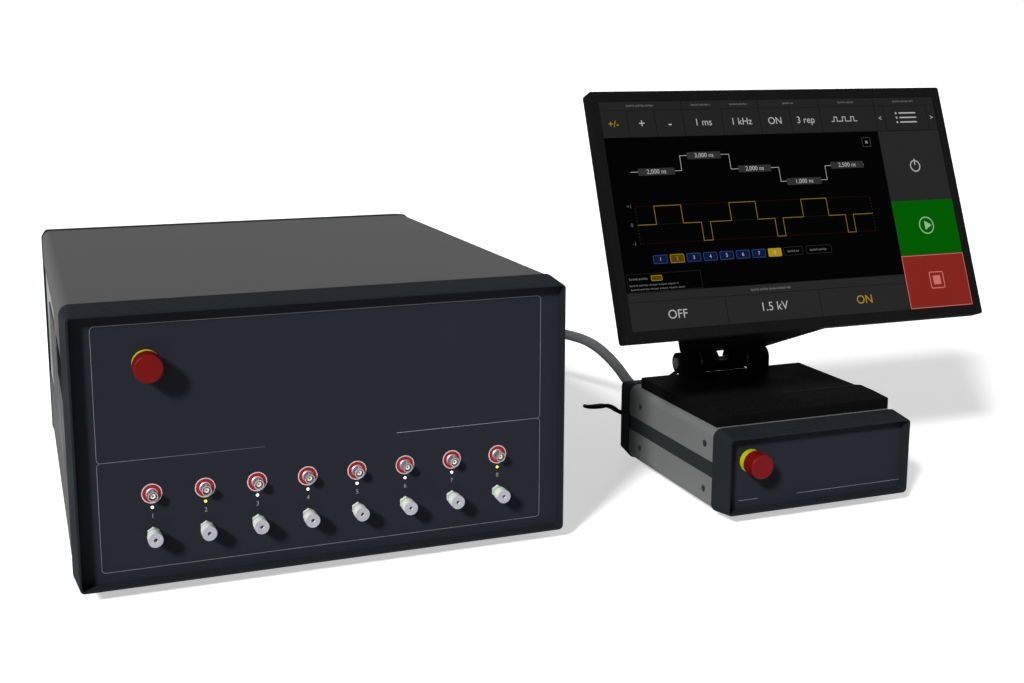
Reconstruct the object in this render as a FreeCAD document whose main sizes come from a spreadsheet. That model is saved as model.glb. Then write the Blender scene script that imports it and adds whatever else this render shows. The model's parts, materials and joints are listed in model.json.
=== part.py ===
"""Bench electroporator: pulse generator, control unit and tilting touch display.

Millimetres. X runs to the right along the fronts, Y to the back and Z up from the
surface that the feet stand on. The origin is below the middle of the whole set.
"""
import FreeCAD, Part
import math
import operator
import os
import types

import Sketcher
from FreeCAD import Placement, Rotation, Vector

# Driving dimensions, all in millimetres except the names that end in angle
SIZES = {
    # Cases, shared by both units
    "foot_height": 10,
    "foot_radius": 11,
    "foot_chamfer": 2,
    "foot_inset": 60,
    "foot_screw_radius": 4.5,
    "foot_screw_depth": 4,
    "ridge_width": 2,
    "ridge_corner": 5,
    "bezel_corner": 10.5,
    "bezel_flare": 4.3,
    "bezel_lip": 8,
    "panel_recess": 12.5,
    "panel_thickness": 3,
    "cover_inset": 1.2,
    "cover_thickness": 1.5,
    "cover_corner": 10,
    "panel_clearance": 0.3,
    "part_clearance": 0.3,
    "fit_clearance": 0.05,
    # Pulse generator
    "generator_width": 490,
    "generator_height": 264,
    "generator_depth": 604.5,
    "generator_bezel_depth": 40,
    "generator_top_skirt": 42.2,
    "generator_bottom_skirt": 83.5,
    "chassis_thickness": 2.5,
    "side_panel_setback": 152,
    "side_panel_drop": 22.9,
    "grip_length": 197,
    "grip_height": 77,
    "grip_pocket_length": 120,
    "grip_pocket_height": 44,
    "grip_pocket_depth": 30,
    "grip_pocket_corner": 10,
    "grip_wall": 2.5,
    "vent_slot_width": 4,
    "vent_slot_height": 60,
    "vent_slot_pitch": 10,
    # Eight output channels on the generator's front
    "channel_pitch": 50,
    "channel_drop": 45.6,
    "ring_radius": 9.75,
    "ring_bore": 5.9,
    "ring_thickness": 0.4,
    "jack_flange_radius": 5.75,
    "jack_flange": 1.8,
    "jack_barrel_radius": 4.8,
    "jack_reach": 10.75,
    "jack_bore": 4.05,
    "jack_bore_depth": 7.4,
    "jack_shank": 14,
    "jack_lug_radius": 0.95,
    "jack_lug_reach": 5.6,
    "jack_lug_setback": 3.4,
    "insulator_radius": 2.5,
    "insulator_setback": 2,
    "contact_radius": 1.1,
    "contact_bore": 0.68,
    "contact_tail": 4,
    "jack_nut_flats": 13,
    "jack_nut_thickness": 2.5,
    "lamp_drop": 13.75,
    "lamp_radius": 1.5,
    "lamp_reach": 0.8,
    "lamp_flange": 0.6,
    "lamp_length": 5,
    "socket_drop": 39.4,
    "socket_radius": 7,
    "socket_reach": 20.5,
    "socket_head": 12.5,
    "socket_shoulder": 1.6,
    "socket_neck_radius": 4.4,
    "socket_shank": 16,
    "socket_bore": 1.95,
    "socket_nut_flats": 11,
    "socket_nut_thickness": 4,
    "socket_ring_radius": 5.5,
    "socket_ring_width": 1.5,
    "socket_contact_wall": 0.6,
    "socket_contact_setback": 7,
    # Emergency stops, the same on both units
    "generator_stop_inset": 70,
    "generator_stop_rise": 81.4,
    "control_stop_inset": 33.1,
    "control_stop_rise": 13.1,
    "stop_reach": 26,
    "stop_head_radius": 13.6,
    "stop_head_round": 1.6,
    "stop_head_wall": 0.9,
    "stop_face_thickness": 5.4,
    "stop_gap": 0.3,
    "stop_collar_height": 8.3,
    "stop_collar_lip": 2,
    "stop_collar_lip_radius": 13,
    "stop_collar_radius": 12.3,
    "stop_shank_radius": 10.8,
    "stop_shank_length": 11,
    "stop_travel": 4.5,
    "plunger_radius": 4,
    "plunger_tip_radius": 3,
    "plunger_tip_length": 4.2,
    "plunger_tail": 20,
    "contact_block_width": 32,
    "contact_block_height": 36,
    "contact_block_depth": 30,
    # Inside and back of the generator
    "board_thickness": 1.6,
    "board_height": 160,
    "board_start": 50,
    "board_notch": 18,
    "backplane_length": 400,
    "backplane_height": 120,
    "heat_sink_width": 16,
    "heat_sink_height": 60,
    "heat_sink_length": 80,
    "heat_sink_base": 4,
    "heat_sink_fin": 1.6,
    "capacitor_radius": 17.5,
    "capacitor_height": 75,
    "capacitor_chamfer": 2,
    "capacitor_gap": 10.9,
    "supply_width": 150,
    "supply_height": 90,
    "supply_gap": 20,
    "supply_side": 110,
    "supply_flange": 8,
    "supply_flange_thickness": 3,
    "power_width": 110,
    "power_height": 50,
    "power_slot_width": 3,
    "power_slot_length": 30,
    "power_slot_pitch": 8,
    "power_wall": 1.5,
    "fan_side": 80,
    "fan_corner": 4,
    "fan_depth": 25,
    "fan_bore": 38,
    "fan_hub_radius": 15,
    "fan_hub_depth": 18,
    "fan_motor_plate": 2.5,
    "fan_strut_width": 5,
    "fan_strut_overlap": 2.5,
    "fan_spindle_radius": 2,
    "fan_blade_gap": 1,
    "fan_blade_thickness": 1.6,
    "fan_inset": 125,
    "fan_rise": 30,
    "grille_slot_width": 4,
    "grille_slot_height": 64,
    "grille_slot_pitch": 8,
    "inlet_width": 50,
    "inlet_height": 76,
    "inlet_flange": 3,
    "inlet_corner": 3,
    "inlet_body_margin": 4,
    "inlet_depth": 26,
    "inlet_inset": 80,
    "inlet_rise": 60,
    "inlet_mouth_width": 25,
    "inlet_mouth_height": 17,
    "inlet_mouth_depth": 17,
    "inlet_mouth_drop": 17,
    "pin_width": 2,
    "pin_height": 4,
    "pin_length": 11,
    "pin_spacing": 7,
    "pin_stagger": 2.2,
    "rocker_width": 20,
    "rocker_height": 26,
    "rocker_rise": 17,
    "rocker_radius": 15,
    "rocker_proud": 2,
    "rocker_room": 14,
    "rocker_pivot_radius": 1.5,
    "gland_hex_flats": 22,
    "gland_hex_thickness": 5,
    "gland_shank_radius": 8,
    "gland_mouth_radius": 8.6,
    "gland_length": 12,
    "gland_tail": 8,
    "generator_gland_inset": 50,
    "generator_gland_drop": 69.6,
    # Control unit
    "unit_spacing": 544.5,
    "control_forward": 29.2,
    "control_width": 234,
    "control_height": 87,
    "control_depth": 261.7,
    "control_bezel_depth": 29,
    "control_skirt": 37.6,
    "control_foot_inset": 45,
    "rail_web": 6,
    "rail_web_height": 72,
    "rail_band_setback": 0.4,
    "side_screw_rise": 26,
    "side_screw_front": 36.2,
    "side_screw_rear": 29,
    "side_screw_radius": 4.1,
    "side_screw_dish": 2.6,
    "side_screw_shank": 2,
    "side_screw_length": 5,
    "side_screw_socket": 1.5,
    "control_board_inset": 32,
    "control_board_length": 150,
    "control_board_back": 45,
    "standoff_radius": 3,
    "standoff_height": 8,
    "standoff_inset": 8,
    "control_sink_side": 60,
    "control_sink_height": 28,
    "control_gland_inset": 38.1,
    "control_gland_rise": 19,
    "plug_side": 19.4,
    "plug_drop": 7,
    "plug_width": 18,
    "plug_height": 9,
    "plug_length": 24,
    "plug_corner": 2,
    "plug_relief_radius": 3.6,
    "plug_relief_length": 8,
    # Display stand
    "stand_front": 23.5,
    "stand_width": 226,
    "stand_length": 180.2,
    "stand_front_height": 12.5,
    "stand_crease_height": 14.6,
    "stand_crease_back": 26.7,
    "stand_step_back": 51.7,
    "stand_step_height": 15.4,
    "stand_step_ramp": 11.6,
    "stand_deck_height": 12.8,
    "stand_edge_round": 1.2,
    "hinge_back": 3.5,
    "hinge_rise": 25.9,
    "knuckle_radius": 13,
    "outer_knuckle_start": 35.5,
    "outer_knuckle_end": 62,
    "inner_knuckle_start": 9.5,
    "inner_knuckle_end": 30.2,
    "hinge_pin_radius": 4,
    "hinge_pin_head_radius": 7,
    "hinge_pin_head": 2.5,
    "washer_radius": 9,
    # Display and its neck
    "display_lean_angle": 21.54,
    "display_rise": 142.5,
    "display_setback": 209.5,
    "display_width": 463.7,
    "display_height": 278,
    "display_corner": 3,
    "display_frame_depth": 8.8,
    "display_body_depth": 15.7,
    "display_side": 10.3,
    "display_brow": 11.45,
    "screen_recess": 0.8,
    "bump_width": 280,
    "bump_top": 80,
    "bump_bottom": 120,
    "bump_corner": 14,
    "bump_splay": 6,
    "bump_depth": 50,
    "display_board_width": 160,
    "display_board_height": 90,
    "display_board_room": 22,
    "housing_slot_width": 3,
    "housing_slot_height": 26,
    "housing_slot_pitch": 9,
    "housing_slot_depth": 1.5,
    "neck_width": 117,
    "neck_bottom": 133,
    "neck_top": 20,
    "neck_heel": 205,
    "neck_heel_top": 100,
    "neck_shoulder": 120,
    "neck_shoulder_top": 38,
    "neck_round": 6,
    "neck_relief": 1.2,
    # Cords
    "link_cable_radius": 7,
    "display_lead_radius": 2.5,
    "display_lead_left": 26.4,
    "display_lead_rise": 7.4,
}

CHANNELS = 8
SIDE_VENTS = 13
GRILLE_SLOTS = 9
HOUSING_SLOTS = 15
POWER_SLOTS = 9
HEAT_SINK_FINS = 7
FAN_BLADES = 7

# Shares of the generator's depth that the parts inside take up
BOARD_LENGTH_SHARE = 0.35
SUPPLY_LENGTH_SHARE = 0.25
POWER_LENGTH_SHARE = 0.31

# Shares of the fan hub's depth and of the rocker's radius
BLADE_ROOT_SHARE = 0.7
BLADE_EDGE_SHARE = 0.15
ROCKER_DEPTH_SHARE = 0.7

# Share of a cord's shorter run that an arc takes up
ARC_SHARE = 0.45

# Free stretch of the link cable, from the control unit's gland to the generator's
LINK_CABLE_ROUTE = [
    (202.075, -48.9, 75.6),
    (202.075, -5, 75.6),
    (203, 50, 98),
    (199, 115, 113),
    (188, 178, 112),
    (179, 244, 103),
    (168, 310, 92),
    (152, 372, 84),
    (118, 420, 79),
    (66, 448, 77),
    (10, 450, 76),
    (-41, 424, 75.5),
    (-68.525, 373, 75.5),
    (-68.525, 323.1, 75.5),
]

# Free stretch of the display lead, from the stand's rear edge to the plug
DISPLAY_LEAD_ROUTE = [
    (254.575, -93.9, 110.6),
    (254.575, -60, 110.6),
    (252, -24, 100),
    (232, -14, 72),
    (204, -26, 52),
    (170, -42, 53.5),
    (152, -42, 69.3),
    (137, -42, 67.8),
    (126.4, -31.4, 65.8),
    (126.4, -16.4, 63.8),
    (137, -5.8, 58.2),
    (165, -5.8, 58.8),
    (184, -4, 44.5),
    (212, 2, 46.5),
    (236, 11, 49),
    (252, 8, 49.6),
    (261.575, -8, 49.6),
    (261.575, -28.9, 49.6),
]


class Size:
    """A length as spreadsheet text, for expressions, and as the number it stands for."""

    def __init__(self, text, number):
        self.text = text
        self.number = number

    def __add__(self, other):
        return combine(self, "+", other)

    def __radd__(self, other):
        return combine(other, "+", self)

    def __sub__(self, other):
        return combine(self, "-", other)

    def __rsub__(self, other):
        return combine(other, "-", self)

    def __mul__(self, other):
        return combine(self, "*", other)

    def __rmul__(self, other):
        return combine(other, "*", self)

    def __truediv__(self, other):
        return combine(self, "/", other)

    def __neg__(self):
        return combine(0, "-", self)


OPERATIONS = {
    "+": operator.add,
    "-": operator.sub,
    "*": operator.mul,
    "/": operator.truediv,
}


def as_size(value):
    if isinstance(value, Size):
        return value
    return Size("(%r)" % value, value)


def combine(left, sign, right):
    left = as_size(left)
    right = as_size(right)
    text = "(%s %s %s)" % (left.text, sign, right.text)
    return Size(text, OPERATIONS[sign](left.number, right.number))


def number(value):
    return as_size(value).number


def bind(item, name, value):
    """Tie one property of a document object to the sheet."""
    item.setExpression(name, as_size(value).text)


doc = FreeCAD.newDocument("electroporator")
nodes = []
cuts = []


def make_sheet():
    sheet = doc.addObject("Spreadsheet::Sheet", "Sizes")
    for row, (name, value) in enumerate(SIZES.items(), start=1):
        sheet.set("A%d" % row, name)
        sheet.set("B%d" % row, str(value))
        sheet.setAlias("B%d" % row, name)
    doc.recompute()


make_sheet()
size = types.SimpleNamespace(
    **{name: Size("Sizes." + name, value) for name, value in SIZES.items()}
)


# Drawing and feature helpers

PLANES = {"front": "XZ_Plane", "side": "YZ_Plane", "top": "XY_Plane"}


def origin_feature(body, role):
    return [item for item in body.Origin.OriginFeatures if item.Role == role][0]


def group(label, bodies):
    """Join bodies that share one node, each still a solid of its own."""
    whole = doc.addObject("Part::Compound", label)
    whole.Label = label
    whole.Links = bodies
    for body in bodies:
        nodes.remove(body)
    nodes.append(whole)


def new_body(label, place, lean=None):
    """Start a sub-part whose own origin lies at the given place."""
    body = doc.addObject("PartDesign::Body", label)
    body.Label = label
    if lean is not None:
        body.Placement = Placement(Vector(), Rotation(Vector(-1, 0, 0), number(lean)))
    for axis, value in zip("xyz", place):
        bind(body, "Placement.Base." + axis, value)
    nodes.append(body)
    return body


def sketch_on(body, plane, offset=0):
    """Start a sketch on a plane of the body that lies at an offset along its axis."""
    sketch = body.newObject("Sketcher::SketchObject", body.Label + "_sketch")
    sketch.AttachmentSupport = [(origin_feature(body, PLANES[plane]), "")]
    sketch.MapMode = "FlatFace"
    if plane == "front":
        offset = -as_size(offset)
    bind(sketch, "AttachmentOffset.Base.z", offset)
    return sketch


def faces_forward(sketch):
    """A sketch on the front plane looks along -Y, the others look along +X or +Z."""
    return sketch.AttachmentSupport[0][0].Role == PLANES["front"]


def dimension(sketch, kind, *places_and_value):
    *places, value = places_and_value
    index = sketch.addConstraint(Sketcher.Constraint(kind, *places, number(value)))
    if isinstance(value, Size):
        bind(sketch, "Constraints[%d]" % index, value)


def pin_point(sketch, item, vertex, x, y):
    dimension(sketch, "DistanceX", -1, 1, item, vertex, x)
    dimension(sketch, "DistanceY", -1, 1, item, vertex, y)


def circle(sketch, x, y, radius):
    centre = Vector(number(x), number(y), 0)
    item = sketch.addGeometry(Part.Circle(centre, Vector(0, 0, 1), number(radius)))
    pin_point(sketch, item, 3, x, y)
    dimension(sketch, "Radius", item, radius)


def corner_arc(corner, before, after, radius):
    """Find the arc that rounds a corner and where it meets the two sides."""
    arm_in = (before - corner).normalize()
    arm_out = (after - corner).normalize()
    half = arm_in.getAngle(arm_out) / 2
    reach = radius / math.tan(half)
    centre = corner + (arm_in + arm_out).normalize() * (radius / math.sin(half))
    return corner + arm_in * reach, corner + arm_out * reach, centre


def outline(sketch, corners):
    """Close a line through corners (x, y) or, where one is rounded, (x, y, radius)."""
    points = [Vector(number(corner[0]), number(corner[1]), 0) for corner in corners]
    count = len(corners)
    arrive, leave, centres = [], [], []
    for index, corner in enumerate(corners):
        if len(corner) == 3:
            ends = corner_arc(points[index], points[index - 1],
                              points[(index + 1) % count], number(corner[2]))
        else:
            ends = (points[index], points[index], None)
        arrive.append(ends[0])
        leave.append(ends[1])
        centres.append(ends[2])
    lines = [
        sketch.addGeometry(Part.LineSegment(leave[index], arrive[(index + 1) % count]))
        for index in range(count)
    ]
    for index, corner in enumerate(corners):
        line_in = lines[index - 1]
        line_out = lines[index]
        if len(corner) == 2:
            sketch.addConstraint(Sketcher.Constraint("Coincident", line_in, 2, line_out, 1))
            pin_point(sketch, line_out, 1, corner[0], corner[1])
            continue
        start = arrive[index] - centres[index]
        end = leave[index] - centres[index]
        left_turn = start.cross(end).z > 0
        if not left_turn:
            start, end = end, start
        ring = Part.Circle(centres[index], Vector(0, 0, 1), number(corner[2]))
        arc = sketch.addGeometry(Part.ArcOfCircle(
            ring, math.atan2(start.y, start.x), math.atan2(end.y, end.x)))
        first, last = (1, 2) if left_turn else (2, 1)
        sketch.addConstraint(Sketcher.Constraint("Tangent", line_in, 2, arc, first))
        sketch.addConstraint(Sketcher.Constraint("Tangent", arc, last, line_out, 1))
        dimension(sketch, "Radius", arc, corner[2])
        vertex = sketch.addGeometry(Part.Point(points[index]), True)
        sketch.addConstraint(Sketcher.Constraint("PointOnObject", vertex, 1, line_in))
        sketch.addConstraint(Sketcher.Constraint("PointOnObject", vertex, 1, line_out))
        pin_point(sketch, vertex, 1, corner[0], corner[1])


def rectangle(sketch, x, y, width, height, radius=None):
    """A rectangle about the point (x, y), with rounded corners if a radius is given."""
    corners = [
        (x - width / 2, y - height / 2),
        (x + width / 2, y - height / 2),
        (x + width / 2, y + height / 2),
        (x - width / 2, y + height / 2),
    ]
    if radius is not None:
        corners = [(*corner, radius) for corner in corners]
    outline(sketch, corners)


def hexagon(sketch, x, y, flats):
    """A hexagon with a corner on top."""
    side = flats / math.sqrt(3)
    outline(sketch, [
        (x + flats / 2, y - side / 2),
        (x + flats / 2, y + side / 2),
        (x, y + side),
        (x - flats / 2, y + side / 2),
        (x - flats / 2, y - side / 2),
        (x, y - side),
    ])


def add_feature(body, kind, sketch):
    feature = body.newObject("PartDesign::" + kind, "%s_%s" % (body.Label, kind.lower()))
    feature.Profile = sketch
    body.Tip = feature
    return feature


def pad(body, sketch, length, towards=1):
    """Raise a sketch towards the positive (1) or negative (-1) end of its axis."""
    feature = add_feature(body, "Pad", sketch)
    feature.Length = number(length)
    bind(feature, "Length", length)
    feature.Reversed = (towards > 0) == faces_forward(sketch)
    return feature


def cut(body, sketch, length, towards=1):
    """Sink a sketch towards the positive (1) or negative (-1) end of its axis."""
    feature = add_feature(body, "Pocket", sketch)
    feature.Length = number(length)
    bind(feature, "Length", length)
    feature.Reversed = (towards > 0) != faces_forward(sketch)
    cuts.append(feature)
    return feature


def turn(body, sketch, axis="H_Axis"):
    """Revolve a half section about the sketch's own axis."""
    feature = add_feature(body, "Revolution", sketch)
    feature.ReferenceAxis = (sketch, [axis])
    feature.Angle = 360
    return feature


def row(body, features, count, pitch, axis="X_Axis"):
    """Repeat features along an axis of the body."""
    pattern = body.newObject("PartDesign::LinearPattern", body.Label + "_row")
    pattern.Originals = features
    pattern.Direction = (origin_feature(body, axis), [""])
    pattern.Mode = "Extent"
    pattern.Occurrences = count
    bind(pattern, "Length", pitch * (count - 1))
    body.Tip = pattern
    return pattern


def around(body, features, count, axis="Y_Axis"):
    """Repeat features evenly about an axis of the body."""
    pattern = body.newObject("PartDesign::PolarPattern", body.Label + "_ring")
    pattern.Originals = features
    pattern.Axis = (origin_feature(body, axis), [""])
    pattern.Angle = 360
    pattern.Occurrences = count
    body.Tip = pattern
    return pattern


def mirror(body, features, plane="side"):
    pattern = body.newObject("PartDesign::Mirrored", body.Label + "_mirror")
    pattern.Originals = features
    pattern.MirrorPlane = (origin_feature(body, PLANES[plane]), [""])
    body.Tip = pattern
    return pattern


def grid(body, features, steps):
    """Copy features once along each step, then mirror them all to the other side."""
    whole = body.newObject("PartDesign::MultiTransform", body.Label + "_grid")
    whole.Originals = features
    moves = []
    for distance, axis in steps:
        move = body.newObject("PartDesign::LinearPattern", body.Label + "_step")
        move.Direction = (origin_feature(body, axis), [""])
        move.Mode = "Extent"
        move.Occurrences = 2
        bind(move, "Length", distance)
        moves.append(move)
    other_side = body.newObject("PartDesign::Mirrored", body.Label + "_mirror")
    other_side.MirrorPlane = (origin_feature(body, PLANES["side"]), [""])
    whole.Transformations = moves + [other_side]
    body.Tip = whole
    return whole


def chamfer_edges(body, width, wanted):
    """Chamfer the edges of the body so far that a test picks out."""
    doc.recompute()
    base = body.Tip
    names = [
        "Edge%d" % index
        for index, edge in enumerate(base.Shape.Edges, start=1)
        if wanted(edge)
    ]
    feature = body.newObject("PartDesign::Chamfer", body.Label + "_chamfer")
    feature.Base = (base, names)
    feature.Size = number(width)
    bind(feature, "Size", width)
    body.Tip = feature
    return feature


def near(value, target):
    return abs(value - number(target)) < NEAR


NEAR = number(size.fit_clearance) / 10


# Where the units stand

def case(label, width, height, depth, bezel_depth):
    """The sizes that a case's bezels, panels and covers share."""
    return types.SimpleNamespace(
        label=label,
        width=width,
        height=height,
        depth=depth,
        bezel_depth=bezel_depth,
        cover_width=width + 2 * size.bezel_flare - 2 * size.cover_inset,
        cover_height=height + 2 * size.bezel_flare - 2 * size.cover_inset,
        cover_front=bezel_depth - size.panel_recess,
        cover_length=depth - 2 * bezel_depth,
        rear_panel=depth - 2 * size.panel_recess,
    )


generator = case("generator", size.generator_width, size.generator_height,
                 size.generator_depth, size.generator_bezel_depth)
control = case("control", size.control_width, size.control_height,
               size.control_depth, size.control_bezel_depth)

generator_half = size.generator_width / 2 + size.bezel_flare
overall_width = generator_half + size.unit_spacing + size.display_width / 2
overall_depth = (size.control_forward + size.stop_reach
                 + size.generator_depth - size.panel_recess)

generator_x = generator_half - overall_width / 2
generator_y = overall_depth / 2 - size.generator_depth + size.panel_recess
generator_z = size.foot_height + generator.cover_height / 2
generator.place = (generator_x, generator_y, generator_z)

control_x = generator_x + size.unit_spacing
control_y = generator_y - size.control_forward
control_z = size.foot_height + control.cover_height / 2
control.place = (control_x, control_y, control_z)


generator_stop_left = size.generator_width / 2 - size.generator_stop_inset
generator_gland_right = size.generator_width / 2 - size.generator_gland_inset
fan_left = size.generator_width / 2 - size.fan_inset
inlet_left = size.generator_width / 2 - size.inlet_inset
control_stop_left = size.control_width / 2 - size.control_stop_inset
control_gland_left = size.control_width / 2 - size.control_gland_inset


def shifted(place, x=0, y=0, z=0):
    return place[0] + x, place[1] + y, place[2] + z


def depth_from_ridge(unit, rear, distance):
    """Y of a plane that lies a distance inwards from the front or rear ridge."""
    if rear:
        return unit.depth - size.panel_recess - distance
    return distance - size.panel_recess


# Cases

def bezel(unit, rear=False):
    """Flared frame with a thin ridge, a recess for the panel and a lip behind it."""
    inward = -1 if rear else 1
    side = "rear" if rear else "front"
    body = new_body("%s_%s_bezel" % (unit.label, side), unit.place)
    ridge = sketch_on(body, "front", depth_from_ridge(unit, rear, 0))
    rectangle(ridge, 0, 0, unit.width, unit.height, size.ridge_corner)
    back = sketch_on(body, "front", depth_from_ridge(unit, rear, unit.bezel_depth))
    rectangle(back, 0, 0, unit.width + 2 * size.bezel_flare,
              unit.height + 2 * size.bezel_flare, size.bezel_corner)
    loft = add_feature(body, "AdditiveLoft", ridge)
    loft.Sections = [back]
    loft.Ruled = True
    opening = sketch_on(body, "front", depth_from_ridge(unit, rear, 0))
    rectangle(opening, 0, 0, unit.width - 2 * size.ridge_width,
              unit.height - 2 * size.ridge_width, size.ridge_corner - size.ridge_width)
    seat = size.panel_recess + size.panel_thickness
    cut(body, opening, seat, inward)
    hollow = sketch_on(body, "front", depth_from_ridge(unit, rear, seat))
    inner = size.ridge_width + size.bezel_lip
    rectangle(hollow, 0, 0, unit.width - 2 * inner, unit.height - 2 * inner)
    cut(body, hollow, unit.bezel_depth - seat, inward)
    return body


def panel(unit, rear=False):
    """Plate that drops into the bezel's recess, seated on its lip."""
    inward = -1 if rear else 1
    side = "rear" if rear else "front"
    body = new_body("%s_%s_panel" % (unit.label, side), unit.place)
    sheet_outline = sketch_on(body, "front",
                              depth_from_ridge(unit, rear, size.panel_recess))
    edge = size.ridge_width + size.panel_clearance
    rectangle(sheet_outline, 0, 0, unit.width - 2 * edge, unit.height - 2 * edge,
              size.ridge_corner - size.ridge_width)
    pad(body, sheet_outline, size.panel_thickness, inward)
    return body


def panel_sketch(unit, body, rear=False):
    return sketch_on(body, "front", depth_from_ridge(unit, rear, size.panel_recess))


def panel_cut(body, sketch, rear=False):
    inward = -1 if rear else 1
    return cut(body, sketch, size.panel_thickness, inward)


def cover(unit, label, skirt, upper):
    """Folded sheet over the top or under the bottom, with a skirt down each side."""
    body = new_body(label, unit.place)
    sign = 1 if upper else -1
    profile = sketch_on(body, "front", unit.cover_front)
    half = unit.cover_width / 2
    crown = unit.cover_height / 2
    inner_corner = size.cover_corner - size.cover_thickness
    inner_half = half - size.cover_thickness
    outline(profile, [
        (-half, sign * (crown - skirt)),
        (-half, sign * crown, size.cover_corner),
        (half, sign * crown, size.cover_corner),
        (half, sign * (crown - skirt)),
        (inner_half, sign * (crown - skirt)),
        (inner_half, sign * (crown - size.cover_thickness), inner_corner),
        (-inner_half, sign * (crown - size.cover_thickness), inner_corner),
        (-inner_half, sign * (crown - skirt)),
    ])
    pad(body, profile, unit.cover_length)
    return body


def feet(unit, inset):
    """Four round feet with a screw recess, under the bottom cover."""
    body = new_body(unit.label + "_feet", shifted(unit.place, z=-unit.cover_height / 2))
    across = unit.cover_width / 2 - inset
    front = unit.cover_front + inset
    back = unit.cover_front + unit.cover_length - inset
    spots = [(x, y) for x in (-across, across) for y in (front, back)]
    discs = sketch_on(body, "top")
    for x, y in spots:
        circle(discs, x, y, size.foot_radius)
    pad(body, discs, size.foot_height, -1)
    recesses = sketch_on(body, "top", -size.foot_height)
    for x, y in spots:
        circle(recesses, x, y, size.foot_screw_radius)
    cut(body, recesses, size.foot_screw_depth, 1)
    rim = number(size.foot_height)
    chamfer_edges(body, size.foot_chamfer, lambda edge: (
        near(edge.BoundBox.ZMin, -rim) and near(edge.BoundBox.ZMax, -rim)
        and edge.Curve.Radius > number(size.foot_screw_radius) + NEAR))
    return body


# Emergency stops

def emergency_stop(unit, place):
    """Collar, sliding plunger, twisting head and the contact block behind the panel."""
    collar = new_body(unit.label + "_stop_collar", place)
    bore = size.plunger_radius + size.fit_clearance
    section = sketch_on(collar, "side")
    outline(section, [
        (size.stop_shank_length, bore),
        (size.stop_shank_length, size.stop_shank_radius),
        (0, size.stop_shank_radius),
        (0, size.stop_collar_lip_radius),
        (-size.stop_collar_lip, size.stop_collar_lip_radius),
        (-size.stop_collar_lip, size.stop_collar_radius),
        (-size.stop_collar_height, size.stop_collar_radius),
        (-size.stop_collar_height, bore),
    ])
    turn(collar, section)

    under_face = size.stop_reach - size.stop_face_thickness
    plunger = new_body(unit.label + "_stop_plunger", place)
    section = sketch_on(plunger, "side")
    outline(section, [
        (size.plunger_tail, 0),
        (size.plunger_tail, size.plunger_radius),
        (-under_face, size.plunger_radius),
        (-under_face, size.plunger_tip_radius),
        (-(under_face + size.plunger_tip_length), size.plunger_tip_radius),
        (-(under_face + size.plunger_tip_length), 0),
    ])
    turn(plunger, section)

    head = new_body(unit.label + "_stop_head", place)
    section = sketch_on(head, "side")
    skirt = size.stop_collar_height + size.stop_gap
    tip_bore = size.plunger_tip_radius + size.fit_clearance
    tip_depth = under_face + size.plunger_tip_length + size.fit_clearance
    outline(section, [
        (-skirt, size.stop_head_radius),
        (-skirt, size.stop_head_radius - size.stop_head_wall),
        (-(under_face + size.fit_clearance), size.stop_head_radius - size.stop_head_wall),
        (-(under_face + size.fit_clearance), tip_bore),
        (-tip_depth, tip_bore),
        (-tip_depth, 0),
        (-size.stop_reach, 0),
        (-size.stop_reach, size.stop_head_radius, size.stop_head_round),
    ])
    turn(head, section)

    block = new_body(unit.label + "_stop_contact_block", place)
    front = size.panel_thickness
    box = sketch_on(block, "front", front)
    rectangle(box, 0, 0, size.contact_block_width, size.contact_block_height)
    pad(block, box, size.contact_block_depth)
    socket = sketch_on(block, "front", front)
    circle(socket, 0, 0, size.stop_shank_radius + size.part_clearance)
    cut(block, socket, size.stop_shank_length - size.panel_thickness)
    guide = sketch_on(block, "front", size.stop_shank_length)
    circle(guide, 0, 0, size.plunger_radius + size.part_clearance)
    cut(block, guide, size.plunger_tail + size.stop_travel + size.part_clearance
        - size.stop_shank_length)
    terminals = sketch_on(block, "front", front + size.contact_block_depth)
    for side in (-1, 1):
        rectangle(terminals, side * size.contact_block_width / 4, 0,
                  size.contact_block_width / 6, size.contact_block_height / 2)
    cut(block, terminals, size.panel_thickness, -1)


# Output channels

channel_zero = -(CHANNELS - 1) / 2 * size.channel_pitch
channel_place = shifted(generator.place, z=-size.channel_drop)
lamp_place = shifted(channel_place, z=-size.lamp_drop)
socket_place = shifted(channel_place, z=-size.socket_drop)


def channel_row(body, features):
    return row(body, features, CHANNELS, size.channel_pitch)


def generator_front():
    """Panel with a row of jack, lamp and socket holes and the hole for the stop."""
    body = panel(generator)
    holes = panel_sketch(generator, body)
    drop = -size.channel_drop
    circle(holes, channel_zero, drop, size.jack_barrel_radius + size.fit_clearance)
    circle(holes, channel_zero, drop - size.lamp_drop, size.lamp_radius + size.fit_clearance)
    circle(holes, channel_zero, drop - size.socket_drop,
           size.socket_neck_radius + size.fit_clearance)
    first = panel_cut(body, holes)
    channel_row(body, [first])
    stop = panel_sketch(generator, body)
    circle(stop, -generator_stop_left, size.generator_stop_rise,
           size.stop_shank_radius + size.part_clearance)
    panel_cut(body, stop)


def channel_rings():
    body = new_body("channel_rings", channel_place)
    ring = sketch_on(body, "front")
    circle(ring, channel_zero, 0, size.ring_radius)
    circle(ring, channel_zero, 0, size.ring_bore)
    channel_row(body, [pad(body, ring, size.ring_thickness, -1)])


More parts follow.
